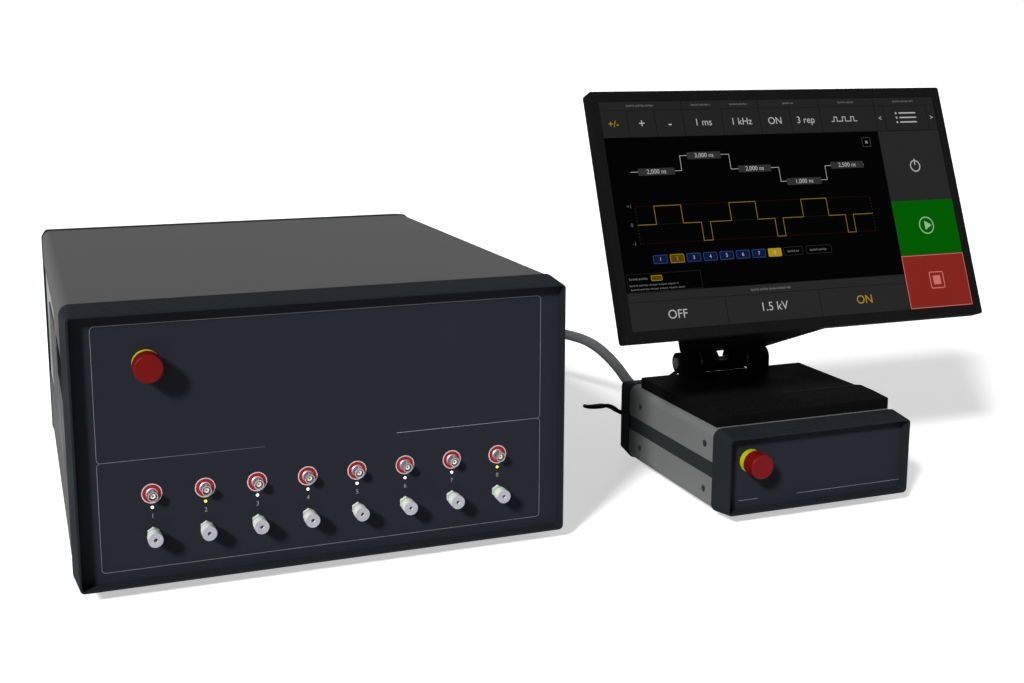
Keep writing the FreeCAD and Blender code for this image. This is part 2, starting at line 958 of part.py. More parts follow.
def jack_bodies():
    """Bayonet jacks: flange, hollow barrel with two lugs, threaded shank behind."""
    body = new_body("jack_bodies", channel_place)
    section = sketch_on(body, "side", channel_zero)
    bore_end = size.jack_reach - size.jack_bore_depth
    sleeve = size.insulator_radius + size.fit_clearance
    shank = size.jack_barrel_radius
    outline(section, [
        (size.jack_shank, sleeve),
        (size.jack_shank, shank),
        (0, shank),
        (0, size.jack_flange_radius),
        (-size.jack_flange / 2, size.jack_flange_radius),
        (-size.jack_flange, size.jack_flange_radius - size.jack_flange / 2),
        (-size.jack_flange, size.jack_barrel_radius),
        (-size.jack_reach, size.jack_barrel_radius),
        (-size.jack_reach, size.jack_bore),
        (-bore_end, size.jack_bore),
        (-bore_end, sleeve),
    ])
    barrel = turn(body, section)
    lugs = sketch_on(body, "top", -size.jack_lug_reach)
    circle(lugs, channel_zero, size.jack_lug_setback - size.jack_reach,
           size.jack_lug_radius)
    across = pad(body, lugs, 2 * size.jack_lug_reach)
    clear = sketch_on(body, "front", -size.jack_reach)
    circle(clear, channel_zero, 0, size.jack_bore)
    mouth = cut(body, clear, size.jack_bore_depth)
    channel_row(body, [barrel, across, mouth])


def jack_insulators():
    body = new_body("jack_insulators", channel_place)
    section = sketch_on(body, "side", channel_zero)
    front = size.jack_reach - size.insulator_setback
    inner = size.contact_radius + size.fit_clearance
    outline(section, [
        (size.jack_shank, inner),
        (size.jack_shank, size.insulator_radius),
        (-front, size.insulator_radius),
        (-front, inner),
    ])
    channel_row(body, [turn(body, section)])


def jack_contacts():
    """Sprung centre contacts, bored at the front and with a solder tail behind."""
    body = new_body("jack_contacts", channel_place)
    section = sketch_on(body, "side", channel_zero)
    front = size.jack_reach - size.insulator_setback
    outline(section, [
        (size.jack_shank + size.contact_tail, 0),
        (size.jack_shank + size.contact_tail, size.contact_radius),
        (-front, size.contact_radius),
        (-front, size.contact_bore),
        (0, size.contact_bore),
        (0, 0),
    ])
    channel_row(body, [turn(body, section)])


def jack_nuts():
    body = new_body("jack_nuts", channel_place)
    face = sketch_on(body, "front", size.panel_thickness)
    hexagon(face, channel_zero, 0, size.jack_nut_flats)
    circle(face, channel_zero, 0, size.jack_barrel_radius + size.fit_clearance)
    channel_row(body, [pad(body, face, size.jack_nut_thickness)])


def lamp(body, position):
    """One lamp: a small dome in front and a flange behind the panel."""
    section = sketch_on(body, "side", position)
    flange_end = size.panel_thickness + size.lamp_flange
    outline(section, [
        (size.lamp_length, 0),
        (size.lamp_length, size.lamp_radius),
        (flange_end, size.lamp_radius),
        (flange_end, size.lamp_radius + size.lamp_flange),
        (size.panel_thickness, size.lamp_radius + size.lamp_flange),
        (size.panel_thickness, size.lamp_radius),
        (-size.lamp_reach, size.lamp_radius, size.lamp_reach),
        (-size.lamp_reach, 0),
    ])
    return turn(body, section)


def channel_lamps():
    """White lamps under channels one and three to seven, yellow under two and eight."""
    white = new_body("channel_lamps", lamp_place)
    lamp(white, channel_zero)
    row(white, [lamp(white, channel_zero + 2 * size.channel_pitch)], 5, size.channel_pitch)
    yellow = new_body("selected_lamps", lamp_place)
    row(yellow, [lamp(yellow, channel_zero + size.channel_pitch)], 2, 6 * size.channel_pitch)


def output_sockets():
    """Insulated sockets with a neck, a hex nut, a green ring and a sunk contact."""
    body = new_body("output_socket_bodies", socket_place)
    section = sketch_on(body, "side", channel_zero)
    shoulder = size.socket_reach - size.socket_head
    outline(section, [
        (size.socket_shank, size.socket_bore),
        (size.socket_shank, size.socket_neck_radius),
        (-shoulder, size.socket_neck_radius),
        (-shoulder, size.socket_radius - size.socket_shoulder),
        (-(shoulder + size.socket_shoulder), size.socket_radius),
        (-size.socket_reach, size.socket_radius),
        (-size.socket_reach, size.socket_bore),
    ])
    channel_row(body, [turn(body, section)])

    sleeve = size.socket_neck_radius + size.fit_clearance
    nuts = new_body("output_socket_nuts", socket_place)
    face = sketch_on(nuts, "front")
    hexagon(face, channel_zero, 0, size.socket_nut_flats)
    circle(face, channel_zero, 0, sleeve)
    channel_row(nuts, [pad(nuts, face, size.socket_nut_thickness, -1)])

    rings = new_body("output_socket_rings", socket_place)
    band = sketch_on(rings, "front", -size.socket_nut_thickness)
    circle(band, channel_zero, 0, size.socket_ring_radius)
    circle(band, channel_zero, 0, sleeve)
    channel_row(rings, [pad(rings, band, size.socket_ring_width, -1)])

    contacts = new_body("output_socket_contacts", socket_place)
    section = sketch_on(contacts, "side", channel_zero)
    outer = size.socket_bore - size.fit_clearance
    front = size.socket_reach - size.socket_contact_setback
    outline(section, [
        (size.socket_shank + size.contact_tail, 0),
        (size.socket_shank + size.contact_tail, outer),
        (-front, outer),
        (-front, outer - size.socket_contact_wall),
        (0, outer - size.socket_contact_wall),
        (0, 0),
    ])
    channel_row(contacts, [turn(contacts, section)])


# Generator case sides and inside

chassis_outer = generator.cover_width / 2 - size.cover_thickness
chassis_floor = size.cover_thickness + size.chassis_thickness - generator.cover_height / 2
seam_top = generator.cover_height / 2 - size.generator_top_skirt
seam_bottom = size.generator_bottom_skirt - generator.cover_height / 2
grip_bottom = seam_top - size.grip_height
side_panel_back = generator.cover_front + generator.cover_length - size.side_panel_setback
vent_start = side_panel_back + 2 * size.vent_slot_pitch


def chassis():
    """Tray with side walls that the covers, panels and grips are fixed to."""
    body = new_body("generator_chassis", generator.place)
    profile = sketch_on(body, "front", generator.cover_front)
    wall = size.chassis_thickness
    outer = chassis_outer
    base = size.cover_thickness - generator.cover_height / 2
    top = generator.cover_height / 2 - size.cover_corner
    corner = size.cover_corner
    outline(profile, [
        (-outer, top),
        (-outer, base, corner),
        (outer, base, corner),
        (outer, top),
        (outer - wall, top),
        (outer - wall, base + wall, corner - wall),
        (wall - outer, base + wall, corner - wall),
        (wall - outer, top),
    ])
    pad(body, profile, generator.cover_length)
    windows = sketch_on(body, "side", -chassis_outer)
    rectangle(windows, generator.cover_front + size.grip_length / 2,
              grip_bottom + size.grip_height / 2,
              size.grip_pocket_length + 2 * size.grip_wall + 2 * size.part_clearance,
              size.grip_pocket_height + 2 * size.grip_wall + 2 * size.part_clearance)
    cut(body, windows, 2 * chassis_outer)
    vents = sketch_on(body, "side", -chassis_outer)
    rectangle(vents, vent_start, 0, size.vent_slot_width, size.vent_slot_height)
    first = cut(body, vents, 2 * chassis_outer)
    row(body, [first], SIDE_VENTS, size.vent_slot_pitch, "Y_Axis")


def side_panels():
    """Light plates with a stepped outline between the covers' skirts."""
    body = new_body("generator_side_panels", generator.place)
    plate = sketch_on(body, "side", chassis_outer)
    front = generator.cover_front
    step = front + size.grip_length
    outline(plate, [
        (front, seam_bottom),
        (side_panel_back, seam_bottom),
        (side_panel_back, seam_top - size.side_panel_drop),
        (step, seam_top - size.side_panel_drop),
        (step, grip_bottom),
        (front, grip_bottom),
    ])
    mirror(body, [pad(body, plate, size.cover_thickness)])


def side_grips():
    """Moulded grips: a flush plate with a cup for the fingers behind it."""
    body = new_body("generator_side_grips", generator.place)
    middle_y = generator.cover_front + size.grip_length / 2
    middle_z = grip_bottom + size.grip_height / 2
    plate = sketch_on(body, "side", chassis_outer)
    rectangle(plate, middle_y, middle_z, size.grip_length, size.grip_height)
    face = pad(body, plate, size.cover_thickness)
    block = sketch_on(body, "side", chassis_outer)
    wall = 2 * size.grip_wall
    rectangle(block, middle_y, middle_z, size.grip_pocket_length + wall,
              size.grip_pocket_height + wall, size.grip_pocket_corner)
    cup = pad(body, block, size.grip_pocket_depth, -1)
    hollow = sketch_on(body, "side", chassis_outer + size.cover_thickness)
    rectangle(hollow, middle_y, middle_z, size.grip_pocket_length,
              size.grip_pocket_height, size.grip_pocket_corner - size.grip_wall)
    depth = size.grip_pocket_depth + size.cover_thickness - size.grip_wall
    mouth = cut(body, hollow, depth, -1)
    mirror(body, [face, cup, mouth])


board_length = size.generator_depth * BOARD_LENGTH_SHARE
board_back = size.board_start + board_length
capacitor_middle = (board_back + size.board_thickness + size.capacitor_gap
                    + size.capacitor_radius)
supply_length = size.generator_depth * SUPPLY_LENGTH_SHARE
power_length = size.generator_depth * POWER_LENGTH_SHARE
supply_middle = (capacitor_middle + size.capacitor_radius + size.supply_gap
                 + power_length / 2)


def pulse_boards():
    """One upright board behind each channel, with a notch and a finned heat sink."""
    body = new_body("pulse_board_cards", generator.place)
    board = sketch_on(body, "side", channel_zero - size.board_thickness / 2)
    front = size.board_start
    top = chassis_floor + size.board_height
    outline(board, [
        (front, chassis_floor),
        (board_back, chassis_floor),
        (board_back, top),
        (front + size.board_notch, top),
        (front + size.board_notch, top - size.board_notch),
        (front, top - size.board_notch),
    ])
    channel_row(body, [pad(body, board, size.board_thickness)])

    plane = new_body("controller_board", generator.place)
    sheet_outline = sketch_on(plane, "front", board_back)
    rectangle(sheet_outline, 0, chassis_floor + size.backplane_height / 2,
              size.backplane_length, size.backplane_height)
    pad(plane, sheet_outline, size.board_thickness)

    sinks = new_body("pulse_board_sinks", generator.place)
    face = sketch_on(sinks, "side", channel_zero + size.board_thickness / 2)
    middle_y = size.board_start + board_length / 2
    middle_z = chassis_floor + size.board_height / 2
    rectangle(face, middle_y, middle_z, size.heat_sink_length, size.heat_sink_height)
    base = pad(sinks, face, size.heat_sink_base)
    fins = sketch_on(sinks, "side", channel_zero + size.board_thickness / 2)
    pitch = (size.heat_sink_height - size.heat_sink_fin) / (HEAT_SINK_FINS - 1)
    for index in range(HEAT_SINK_FINS):
        height = (middle_z - size.heat_sink_height / 2 + size.heat_sink_fin / 2
                  + index * pitch)
        rectangle(fins, middle_y, height, size.heat_sink_length, size.heat_sink_fin)
    channel_row(sinks, [base, pad(sinks, fins, size.heat_sink_width)])
    group("pulse_boards", [body, sinks])


def capacitors():
    body = new_body("storage_capacitors", shifted(generator.place, z=chassis_floor))
    cans = sketch_on(body, "top")
    circle(cans, channel_zero, capacitor_middle, size.capacitor_radius)
    can = pad(body, cans, size.capacitor_height)
    channel_row(body, [can])
    top = number(size.capacitor_height)
    chamfer_edges(body, size.capacitor_chamfer, lambda edge: near(edge.BoundBox.ZMin, top))


def supplies():
    """High-voltage module on a flanged foot and a slotted mains power supply."""
    floor_place = shifted(generator.place, z=chassis_floor)
    body = new_body("high_voltage_supply", floor_place)
    foot = sketch_on(body, "top")
    rectangle(foot, -size.supply_side, supply_middle,
              size.supply_width + 2 * size.supply_flange, supply_length)
    pad(body, foot, size.supply_flange_thickness)
    block = sketch_on(body, "top", size.supply_flange_thickness)
    rectangle(block, -size.supply_side, supply_middle, size.supply_width, supply_length,
              size.supply_flange)
    pad(body, block, size.supply_height)

    power = new_body("power_supply", floor_place)
    case_outline = sketch_on(power, "top")
    rectangle(case_outline, size.supply_side, supply_middle, size.power_width, power_length)
    pad(power, case_outline, size.power_height)
    slots = sketch_on(power, "top", size.power_height)
    rectangle(slots, size.supply_side, supply_middle - 4 * size.power_slot_pitch,
              size.power_slot_length, size.power_slot_width)
    first = cut(power, slots, size.power_wall, -1)
    row(power, [first], POWER_SLOTS, size.power_slot_pitch, "Y_Axis")


# Generator back

fan_place = shifted(generator.place, x=fan_left,
                    y=generator.rear_panel - size.panel_thickness, z=size.fan_rise)
inlet_place = shifted(generator.place, x=-inlet_left,
                      y=generator.rear_panel, z=-size.inlet_rise)


def generator_back():
    """Rear panel with a fan grille, the inlet's window and the cable gland's hole."""
    body = panel(generator, rear=True)
    slot = panel_sketch(generator, body, rear=True)
    rectangle(slot, fan_left - (GRILLE_SLOTS - 1) / 2 * size.grille_slot_pitch,
              size.fan_rise, size.grille_slot_width, size.grille_slot_height)
    first = panel_cut(body, slot, rear=True)
    row(body, [first], GRILLE_SLOTS, size.grille_slot_pitch)
    windows = panel_sketch(generator, body, rear=True)
    margin = 2 * size.inlet_body_margin - 2 * size.part_clearance
    rectangle(windows, -inlet_left, -size.inlet_rise, size.inlet_width - margin,
              size.inlet_height - margin)
    circle(windows, generator_gland_right, -size.generator_gland_drop,
           size.gland_shank_radius + size.part_clearance)
    panel_cut(body, windows, rear=True)


def fan():
    """Square fan frame with a motor plate on struts, and a bladed rotor on its spindle."""
    housing = new_body("fan_housing", fan_place)
    frame = sketch_on(housing, "front")
    rectangle(frame, 0, 0, size.fan_side, size.fan_side, size.fan_corner)
    circle(frame, 0, 0, size.fan_bore)
    pad(housing, frame, size.fan_depth, -1)
    inner_face = -size.fan_depth
    motor = sketch_on(housing, "front", inner_face)
    circle(motor, 0, 0, size.fan_hub_radius)
    pad(housing, motor, size.fan_motor_plate)
    span = 2 * size.fan_bore + size.fan_strut_overlap
    for width, height in ((span, size.fan_strut_width), (size.fan_strut_width, span)):
        strut = sketch_on(housing, "front", inner_face)
        rectangle(strut, 0, 0, width, height)
        pad(housing, strut, size.fan_motor_plate)
    spindle = sketch_on(housing, "front", inner_face)
    circle(spindle, 0, 0, size.fan_spindle_radius)
    pad(housing, spindle, size.fan_hub_depth)

    rotor = new_body("fan_rotor", fan_place)
    hub_start = inner_face + size.fan_motor_plate + size.part_clearance
    hub = sketch_on(rotor, "front", hub_start)
    circle(hub, 0, 0, size.fan_hub_radius)
    pad(rotor, hub, size.fan_hub_depth)
    tip = size.fan_bore - size.fan_blade_gap
    root = size.fan_hub_radius / 2
    front_blade = sketch_on(rotor, "side", root)
    rectangle(front_blade, hub_start + size.fan_hub_depth / 2, 0,
              size.fan_hub_depth * BLADE_ROOT_SHARE, size.fan_blade_thickness)
    outer_blade = sketch_on(rotor, "side", tip)
    low = hub_start + size.fan_hub_depth * BLADE_EDGE_SHARE
    high = hub_start + size.fan_hub_depth * (1 - BLADE_EDGE_SHARE)
    rise = size.fan_hub_radius / 2
    outline(outer_blade, [
        (low, -rise),
        (low + size.fan_blade_thickness, -rise),
        (high, rise),
        (high - size.fan_blade_thickness, rise),
    ])
    blade = add_feature(rotor, "AdditiveLoft", front_blade)
    blade.Sections = [outer_blade]
    blade.Ruled = True
    around(rotor, [blade], FAN_BLADES)
    bore = sketch_on(rotor, "front", hub_start)
    circle(bore, 0, 0, size.fan_spindle_radius + size.fit_clearance)
    cut(rotor, bore, size.fan_hub_depth - size.fan_motor_plate)


def mains_inlet():
    """Inlet module: flange, body behind the panel, cord socket and rocker opening."""
    body = new_body("mains_inlet", inlet_place)
    flange = sketch_on(body, "front")
    rectangle(flange, 0, 0, size.inlet_width, size.inlet_height, size.inlet_corner)
    pad(body, flange, size.inlet_flange)
    block = sketch_on(body, "front")
    margin = 2 * size.inlet_body_margin
    rectangle(block, 0, 0, size.inlet_width - margin, size.inlet_height - margin)
    pad(body, block, size.inlet_depth, -1)
    mouth = sketch_on(body, "front", size.inlet_flange)
    drop = -size.inlet_mouth_drop
    half_width = size.inlet_mouth_width / 2
    half_height = size.inlet_mouth_height / 2
    clipped = size.inlet_mouth_height / 4
    outline(mouth, [
        (-half_width, drop - half_height),
        (half_width, drop - half_height),
        (half_width, drop + half_height - clipped),
        (half_width - clipped, drop + half_height),
        (clipped - half_width, drop + half_height),
        (-half_width, drop + half_height - clipped),
    ])
    cut(body, mouth, size.inlet_mouth_depth, -1)
    window = sketch_on(body, "front", size.inlet_flange)
    rectangle(window, 0, size.rocker_rise, size.rocker_width + 2 * size.part_clearance,
              size.rocker_height + 2 * size.part_clearance)
    cut(body, window, size.rocker_room + size.inlet_flange, -1)

    pins = sketch_on(body, "front", size.inlet_flange - size.inlet_mouth_depth)
    for x, z in ((-size.pin_spacing, -size.pin_stagger), (0, size.pin_stagger),
                 (size.pin_spacing, -size.pin_stagger)):
        rectangle(pins, x, drop + z, size.pin_width, size.pin_height)
    pad(body, pins, size.pin_length)

    rocker = new_body("power_rocker", shifted(inlet_place, z=size.rocker_rise))
    side = sketch_on(rocker, "side", -size.rocker_width / 2)
    half = size.rocker_height / 2 - size.rocker_proud
    face = size.inlet_flange + size.rocker_proud
    outline(side, [
        (size.inlet_flange - size.rocker_radius * ROCKER_DEPTH_SHARE, 0),
        (size.inlet_flange - size.rocker_proud, -half),
        (face, -half),
        (size.inlet_flange, 0),
        (face, half),
        (size.inlet_flange - size.rocker_proud, half),
    ])
    pad(rocker, side, size.rocker_width)
    pivot = sketch_on(rocker, "side", -size.rocker_width / 2 - size.part_clearance / 2)
    circle(pivot, -size.rocker_proud, 0, size.rocker_pivot_radius)
    pad(rocker, pivot, size.rocker_width + size.part_clearance)


def cable_glands():
    """Hexagonal glands where the link cable enters each rear panel."""
    glands = []
    for unit, x, z in (
        (generator, generator_gland_right, -size.generator_gland_drop),
        (control, -control_gland_left, size.control_gland_rise),
    ):
        body = new_body(unit.label + "_cable_gland",
                        shifted(unit.place, x=x, y=unit.rear_panel, z=z))
        flats = sketch_on(body, "front")
        hexagon(flats, 0, 0, size.gland_hex_flats)
        pad(body, flats, size.gland_hex_thickness)
        dome = sketch_on(body, "side")
        outline(dome, [
            (-size.gland_tail, 0),
            (-size.gland_tail, size.gland_shank_radius),
            (size.gland_hex_thickness, size.gland_shank_radius),
            (size.gland_hex_thickness, size.gland_hex_flats / 2, size.gland_shank_radius / 4),
            (size.gland_length, size.gland_mouth_radius, size.gland_shank_radius / 8),
            (size.gland_length, 0),
        ])
        turn(body, dome)
        glands.append(body)
    group("cable_glands", glands)


# Control unit

side_screw_last = control.cover_front + control.cover_length - size.side_screw_rear


def control_covers():
    """Two covers with screw holes in their skirts and the dark rails between them."""
    web = control.cover_width / 2 - size.cover_thickness
    hole = size.side_screw_radius + size.fit_clearance
    for label, upper in (("control_top_cover", True), ("control_bottom_cover", False)):
        body = cover(control, label, size.control_skirt, upper)
        rise = size.side_screw_rise if upper else -size.side_screw_rise
        holes = sketch_on(body, "side", -control.cover_width / 2)
        circle(holes, size.side_screw_front, rise, hole)
        circle(holes, side_screw_last, rise, hole)
        cut(body, holes, control.cover_width)

    rails = new_body("control_side_rails", control.place)
    profile = sketch_on(rails, "front", control.cover_front)
    band = control.cover_height / 2 - size.control_skirt - size.part_clearance
    high = size.rail_web_height / 2
    outer = control.cover_width / 2 - size.rail_band_setback
    outline(profile, [
        (web - size.rail_web, -high),
        (web, -high),
        (web, -band),
        (outer, -band),
        (outer, band),
        (web, band),
        (web, high),
        (web - size.rail_web, high),
    ])
    extrusion = pad(rails, profile, control.cover_length)
    threads = sketch_on(rails, "side", web - size.rail_web)
    for y in (size.side_screw_front, side_screw_last):
        for z in (-size.side_screw_rise, size.side_screw_rise):
            circle(threads, y, z, size.side_screw_shank + size.fit_clearance)
    drilled = cut(rails, threads, size.rail_web)
    mirror(rails, [extrusion, drilled])


def side_screws():
    """Dished screws that hold the covers' skirts to the rails."""
    body = new_body("control_side_screws",
                    shifted(control.place, y=size.side_screw_front,
                            z=-size.side_screw_rise))
    web = control.cover_width / 2 - size.cover_thickness
    face = control.cover_width / 2
    section = sketch_on(body, "top")
    outline(section, [
        (web - size.side_screw_length, 0),
        (web - size.side_screw_length, size.side_screw_shank),
        (web, size.side_screw_shank),
        (web, size.side_screw_radius),
        (face, size.side_screw_radius),
        (face - size.cover_thickness / 2, size.side_screw_dish),
        (face - size.cover_thickness / 2, size.side_screw_socket),
        (web - size.cover_thickness, size.side_screw_socket),
        (web - size.cover_thickness, 0),
    ])
    grid(body, [turn(body, section)], [
        (side_screw_last - size.side_screw_front, "Y_Axis"),
        (2 * size.side_screw_rise, "Z_Axis"),
    ])


def control_inside():
    """Computer board on standoffs with a finned heat sink."""
    floor = size.cover_thickness - control.cover_height / 2
    body = new_body("control_board_card", shifted(control.place, z=floor))
    middle = size.control_board_back + size.control_board_length / 2
    posts = sketch_on(body, "top")
    width = size.control_width - 2 * size.control_board_inset
    across = width / 2 - size.standoff_inset
    along = size.control_board_length / 2 - size.standoff_inset
    for x in (-across, across):
        for y in (middle - along, middle + along):
            circle(posts, x, y, size.standoff_radius)
    pad(body, posts, size.standoff_height)
    board = sketch_on(body, "top", size.standoff_height)
    rectangle(board, 0, middle, width, size.control_board_length)
    pad(body, board, size.board_thickness)

    top = size.standoff_height + size.board_thickness
    sink = new_body("control_board_sink", shifted(control.place, z=floor))
    base = sketch_on(sink, "top", top)
    side = size.control_sink_side
    rectangle(base, 0, middle, side, side)
    pad(sink, base, size.heat_sink_base)
    fins = sketch_on(sink, "top", top)
    pitch = (side - size.heat_sink_fin) / (HEAT_SINK_FINS - 1)
    for index in range(HEAT_SINK_FINS):
        place = index * pitch + size.heat_sink_fin / 2 - side / 2
        rectangle(fins, place, middle, size.heat_sink_fin, side)
    pad(sink, fins, size.control_sink_height)
    group("control_board", [body, sink])


def control_panels():
    body = panel(control)
    hole = panel_sketch(control, body)
    circle(hole, -control_stop_left, size.control_stop_rise,
           size.stop_shank_radius + size.part_clearance)
    panel_cut(body, hole)

    rear = panel(control, rear=True)
    holes = panel_sketch(control, rear, rear=True)
    circle(holes, -control_gland_left, size.control_gland_rise,
           size.gland_shank_radius + size.part_clearance)
    panel_cut(rear, holes, rear=True)
    vents = panel_sketch(control, rear, rear=True)
    first_vent = size.control_width / 4 - (POWER_SLOTS - 1) / 2 * size.grille_slot_pitch
    rectangle(vents, first_vent, 0, size.grille_slot_width, size.control_height / 2)
    first = panel_cut(rear, vents, rear=True)
    row(rear, [first], POWER_SLOTS, size.grille_slot_pitch)


def lead_plug():
    """Moulded plug with a strain relief, in the control unit's rear panel."""
    body = new_body("display_lead_plug",
                    shifted(control.place, x=-size.plug_side, y=control.rear_panel,
                            z=-size.plug_drop))
    shell = sketch_on(body, "front")
    rectangle(shell, 0, 0, size.plug_width, size.plug_height, size.plug_corner)
    pad(body, shell, size.plug_length)
    relief = sketch_on(body, "front", size.plug_length)
    circle(relief, 0, 0, size.plug_relief_radius)
    pad(body, relief, size.plug_relief_length)


# Stand and hinge

stand_place = shifted(control.place, y=size.stand_front, z=control.cover_height / 2)
hinge_y = size.stand_length + size.hinge_back
hinge_place = shifted(stand_place, y=hinge_y, z=size.hinge_rise)


def knuckle(body, first, last, y=0, z=0):
    """One disc on the hinge line, to be mirrored to the other side."""
    disc = sketch_on(body, "side", first)
    circle(disc, y, z, size.knuckle_radius)
    return pad(body, disc, last - first)


def stand_base():
    """Plate with a raised front, a lower deck and two fixed hinge knuckles."""
    body = new_body("stand_base", stand_place)
    profile = sketch_on(body, "side", -size.stand_width / 2)
    outline(profile, [
        (0, 0),
        (size.stand_length, 0),
        (size.stand_length, size.stand_deck_height),
        (size.stand_step_back + size.stand_step_ramp, size.stand_deck_height),
        (size.stand_step_back, size.stand_step_height),
        (size.stand_crease_back, size.stand_crease_height),
        (0, size.stand_front_height, size.stand_edge_round),
    ])
    pad(body, profile, size.stand_width)
    cradle = sketch_on(body, "side", -size.outer_knuckle_start)
    circle(cradle, hinge_y, size.hinge_rise, size.knuckle_radius + size.neck_relief)
    cut(body, cradle, 2 * size.outer_knuckle_start)
    barrel = knuckle(body, size.outer_knuckle_start, size.outer_knuckle_end,
                     hinge_y, size.hinge_rise)
    web = sketch_on(body, "side", size.outer_knuckle_start)
    outline(web, [
        (hinge_y - size.knuckle_radius, size.stand_deck_height / 2),
        (size.stand_length, size.stand_deck_height / 2),
        (size.stand_length, size.hinge_rise),
        (hinge_y - size.knuckle_radius, size.hinge_rise),
    ])
    root = pad(body, web, size.outer_knuckle_end - size.outer_knuckle_start)
    mirror(body, [barrel, root])
    bore = sketch_on(body, "side", -size.outer_knuckle_end)
    circle(bore, hinge_y, size.hinge_rise, size.hinge_pin_radius + size.fit_clearance)
    cut(body, bore, 2 * size.outer_knuckle_end)


def hinge_pin():
    pin = new_body("hinge_pin", hinge_place)
    end = size.outer_knuckle_end + size.hinge_pin_head
    shaft = sketch_on(pin, "side", -end)
    circle(shaft, 0, 0, size.hinge_pin_radius)
    pad(pin, shaft, 2 * end)
    for start, towards in ((size.outer_knuckle_end, 1), (-size.outer_knuckle_end, -1)):
        head = sketch_on(pin, "side", start)
        circle(head, 0, 0, size.hinge_pin_head_radius)
        pad(pin, head, size.hinge_pin_head, towards)

    washers = new_body("friction_washers", hinge_place)
    gap = size.outer_knuckle_start - size.inner_knuckle_end
    ring = sketch_on(washers, "side", size.inner_knuckle_end + size.part_clearance)
    circle(ring, 0, 0, size.washer_radius)
    circle(ring, 0, 0, size.hinge_pin_radius + size.fit_clearance)
    mirror(washers, [pad(washers, ring, gap - size.part_clearance)])


def neck():
    """Wide arm from the hinge to the back of the display, cut clear of the knuckles."""
    body = new_body("neck", hinge_place, size.display_lean_angle)
    across = size.display_setback
    along = size.display_rise
    arm = sketch_on(body, "side", -size.neck_width / 2)
    bottom = along - size.neck_bottom
    outline(arm, [
        (size.bump_depth - across, bottom),
        (size.neck_heel - across, bottom, size.neck_round),
        (size.neck_heel - across, along - size.neck_heel_top, size.neck_round),
        (size.neck_shoulder - across, along - size.neck_shoulder_top, size.neck_round),
        (size.bump_depth - across, along - size.neck_top),
    ])
    pad(body, arm, size.neck_width)
    relief = size.knuckle_radius + size.neck_relief
    for start, towards in ((size.inner_knuckle_end + size.part_clearance, 1),
                           (-size.inner_knuckle_end - size.part_clearance, -1)):
        clear = sketch_on(body, "side", start)
        circle(clear, 0, 0, relief)
        cut(body, clear, size.neck_width / 2, towards)
    mirror(body, [knuckle(body, size.inner_knuckle_start, size.inner_knuckle_end)])
    window = sketch_on(body, "side", -size.inner_knuckle_start)
    circle(window, 0, 0, relief)
    cut(body, window, 2 * size.inner_knuckle_start)
    bore = sketch_on(body, "side", -size.outer_knuckle_end)
    circle(bore, 0, 0, size.hinge_pin_radius + size.fit_clearance)
    cut(body, bore, 2 * size.outer_knuckle_end)


# Display

def display_body(label):
    """A display piece in the hinge's leaning frame, with its origin at the hinge."""
    return new_body(label, hinge_place, size.display_lean_angle)


def face_depth(depth):
    return depth - size.display_setback


def display():
    middle = size.display_rise
    screen_width = size.display_width - 2 * size.display_side
    screen_height = size.display_height - 2 * size.display_brow
    frame = display_body("display_front_frame")
    ring = sketch_on(frame, "front", face_depth(0))
    rectangle(ring, 0, middle, size.display_width, size.display_height, size.display_corner)
    rectangle(ring, 0, middle, screen_width, screen_height)
    pad(frame, ring, size.display_frame_depth)

    screen = display_body("display_screen")
    pane = sketch_on(screen, "front", face_depth(size.screen_recess))
    rectangle(pane, 0, middle, screen_width - 2 * size.panel_clearance,
              screen_height - 2 * size.panel_clearance)
    pad(screen, pane, size.display_frame_depth - size.screen_recess)

    housing = display_body("display_rear_housing")
    plate = sketch_on(housing, "front", face_depth(size.display_frame_depth))
    rectangle(plate, 0, middle, size.display_width, size.display_height, size.display_corner)
    pad(housing, plate, size.display_body_depth - size.display_frame_depth)
    bump_middle = middle + (size.bump_top - size.bump_bottom) / 2
    bump_height = size.bump_top + size.bump_bottom
    wide = sketch_on(housing, "front", face_depth(size.display_body_depth))
    rectangle(wide, 0, bump_middle, size.bump_width + 2 * size.bump_splay,
              bump_height + 2 * size.bump_splay, size.bump_corner)
    narrow = sketch_on(housing, "front", face_depth(size.bump_depth))
    rectangle(narrow, 0, bump_middle, size.bump_width, bump_height, size.bump_corner)
    bump = add_feature(housing, "AdditiveLoft", wide)
    bump.Sections = [narrow]
    bump.Ruled = True
    room = sketch_on(housing, "front", face_depth(size.display_frame_depth))
    rectangle(room, 0, bump_middle, size.display_board_width + 2 * size.part_clearance,
              size.display_board_height + 2 * size.part_clearance)
    cut(housing, room, size.display_board_room)
    slots = sketch_on(housing, "front", face_depth(size.bump_depth))
    rectangle(slots, -(HOUSING_SLOTS - 1) / 2 * size.housing_slot_pitch,
              middle + size.bump_top - size.housing_slot_height,
              size.housing_slot_width, size.housing_slot_height)
    first = cut(housing, slots, size.housing_slot_depth, -1)
    row(housing, [first], HOUSING_SLOTS, size.housing_slot_pitch)

    board = display_body("display_board")
    floor = size.display_frame_depth + size.display_board_room
    card = sketch_on(board, "front", face_depth(floor))
    rectangle(card, 0, bump_middle, size.display_board_width, size.display_board_height)
    pad(board, card, size.board_thickness, -1)
    chips = sketch_on(board, "front", face_depth(floor - size.board_thickness))
    for side in (-1, 1):
        rectangle(chips, side * size.display_board_width / 4, bump_middle,
                  size.display_board_width / 8, size.display_board_width / 8)
    pad(board, chips, size.board_thickness, -1)


# Cords

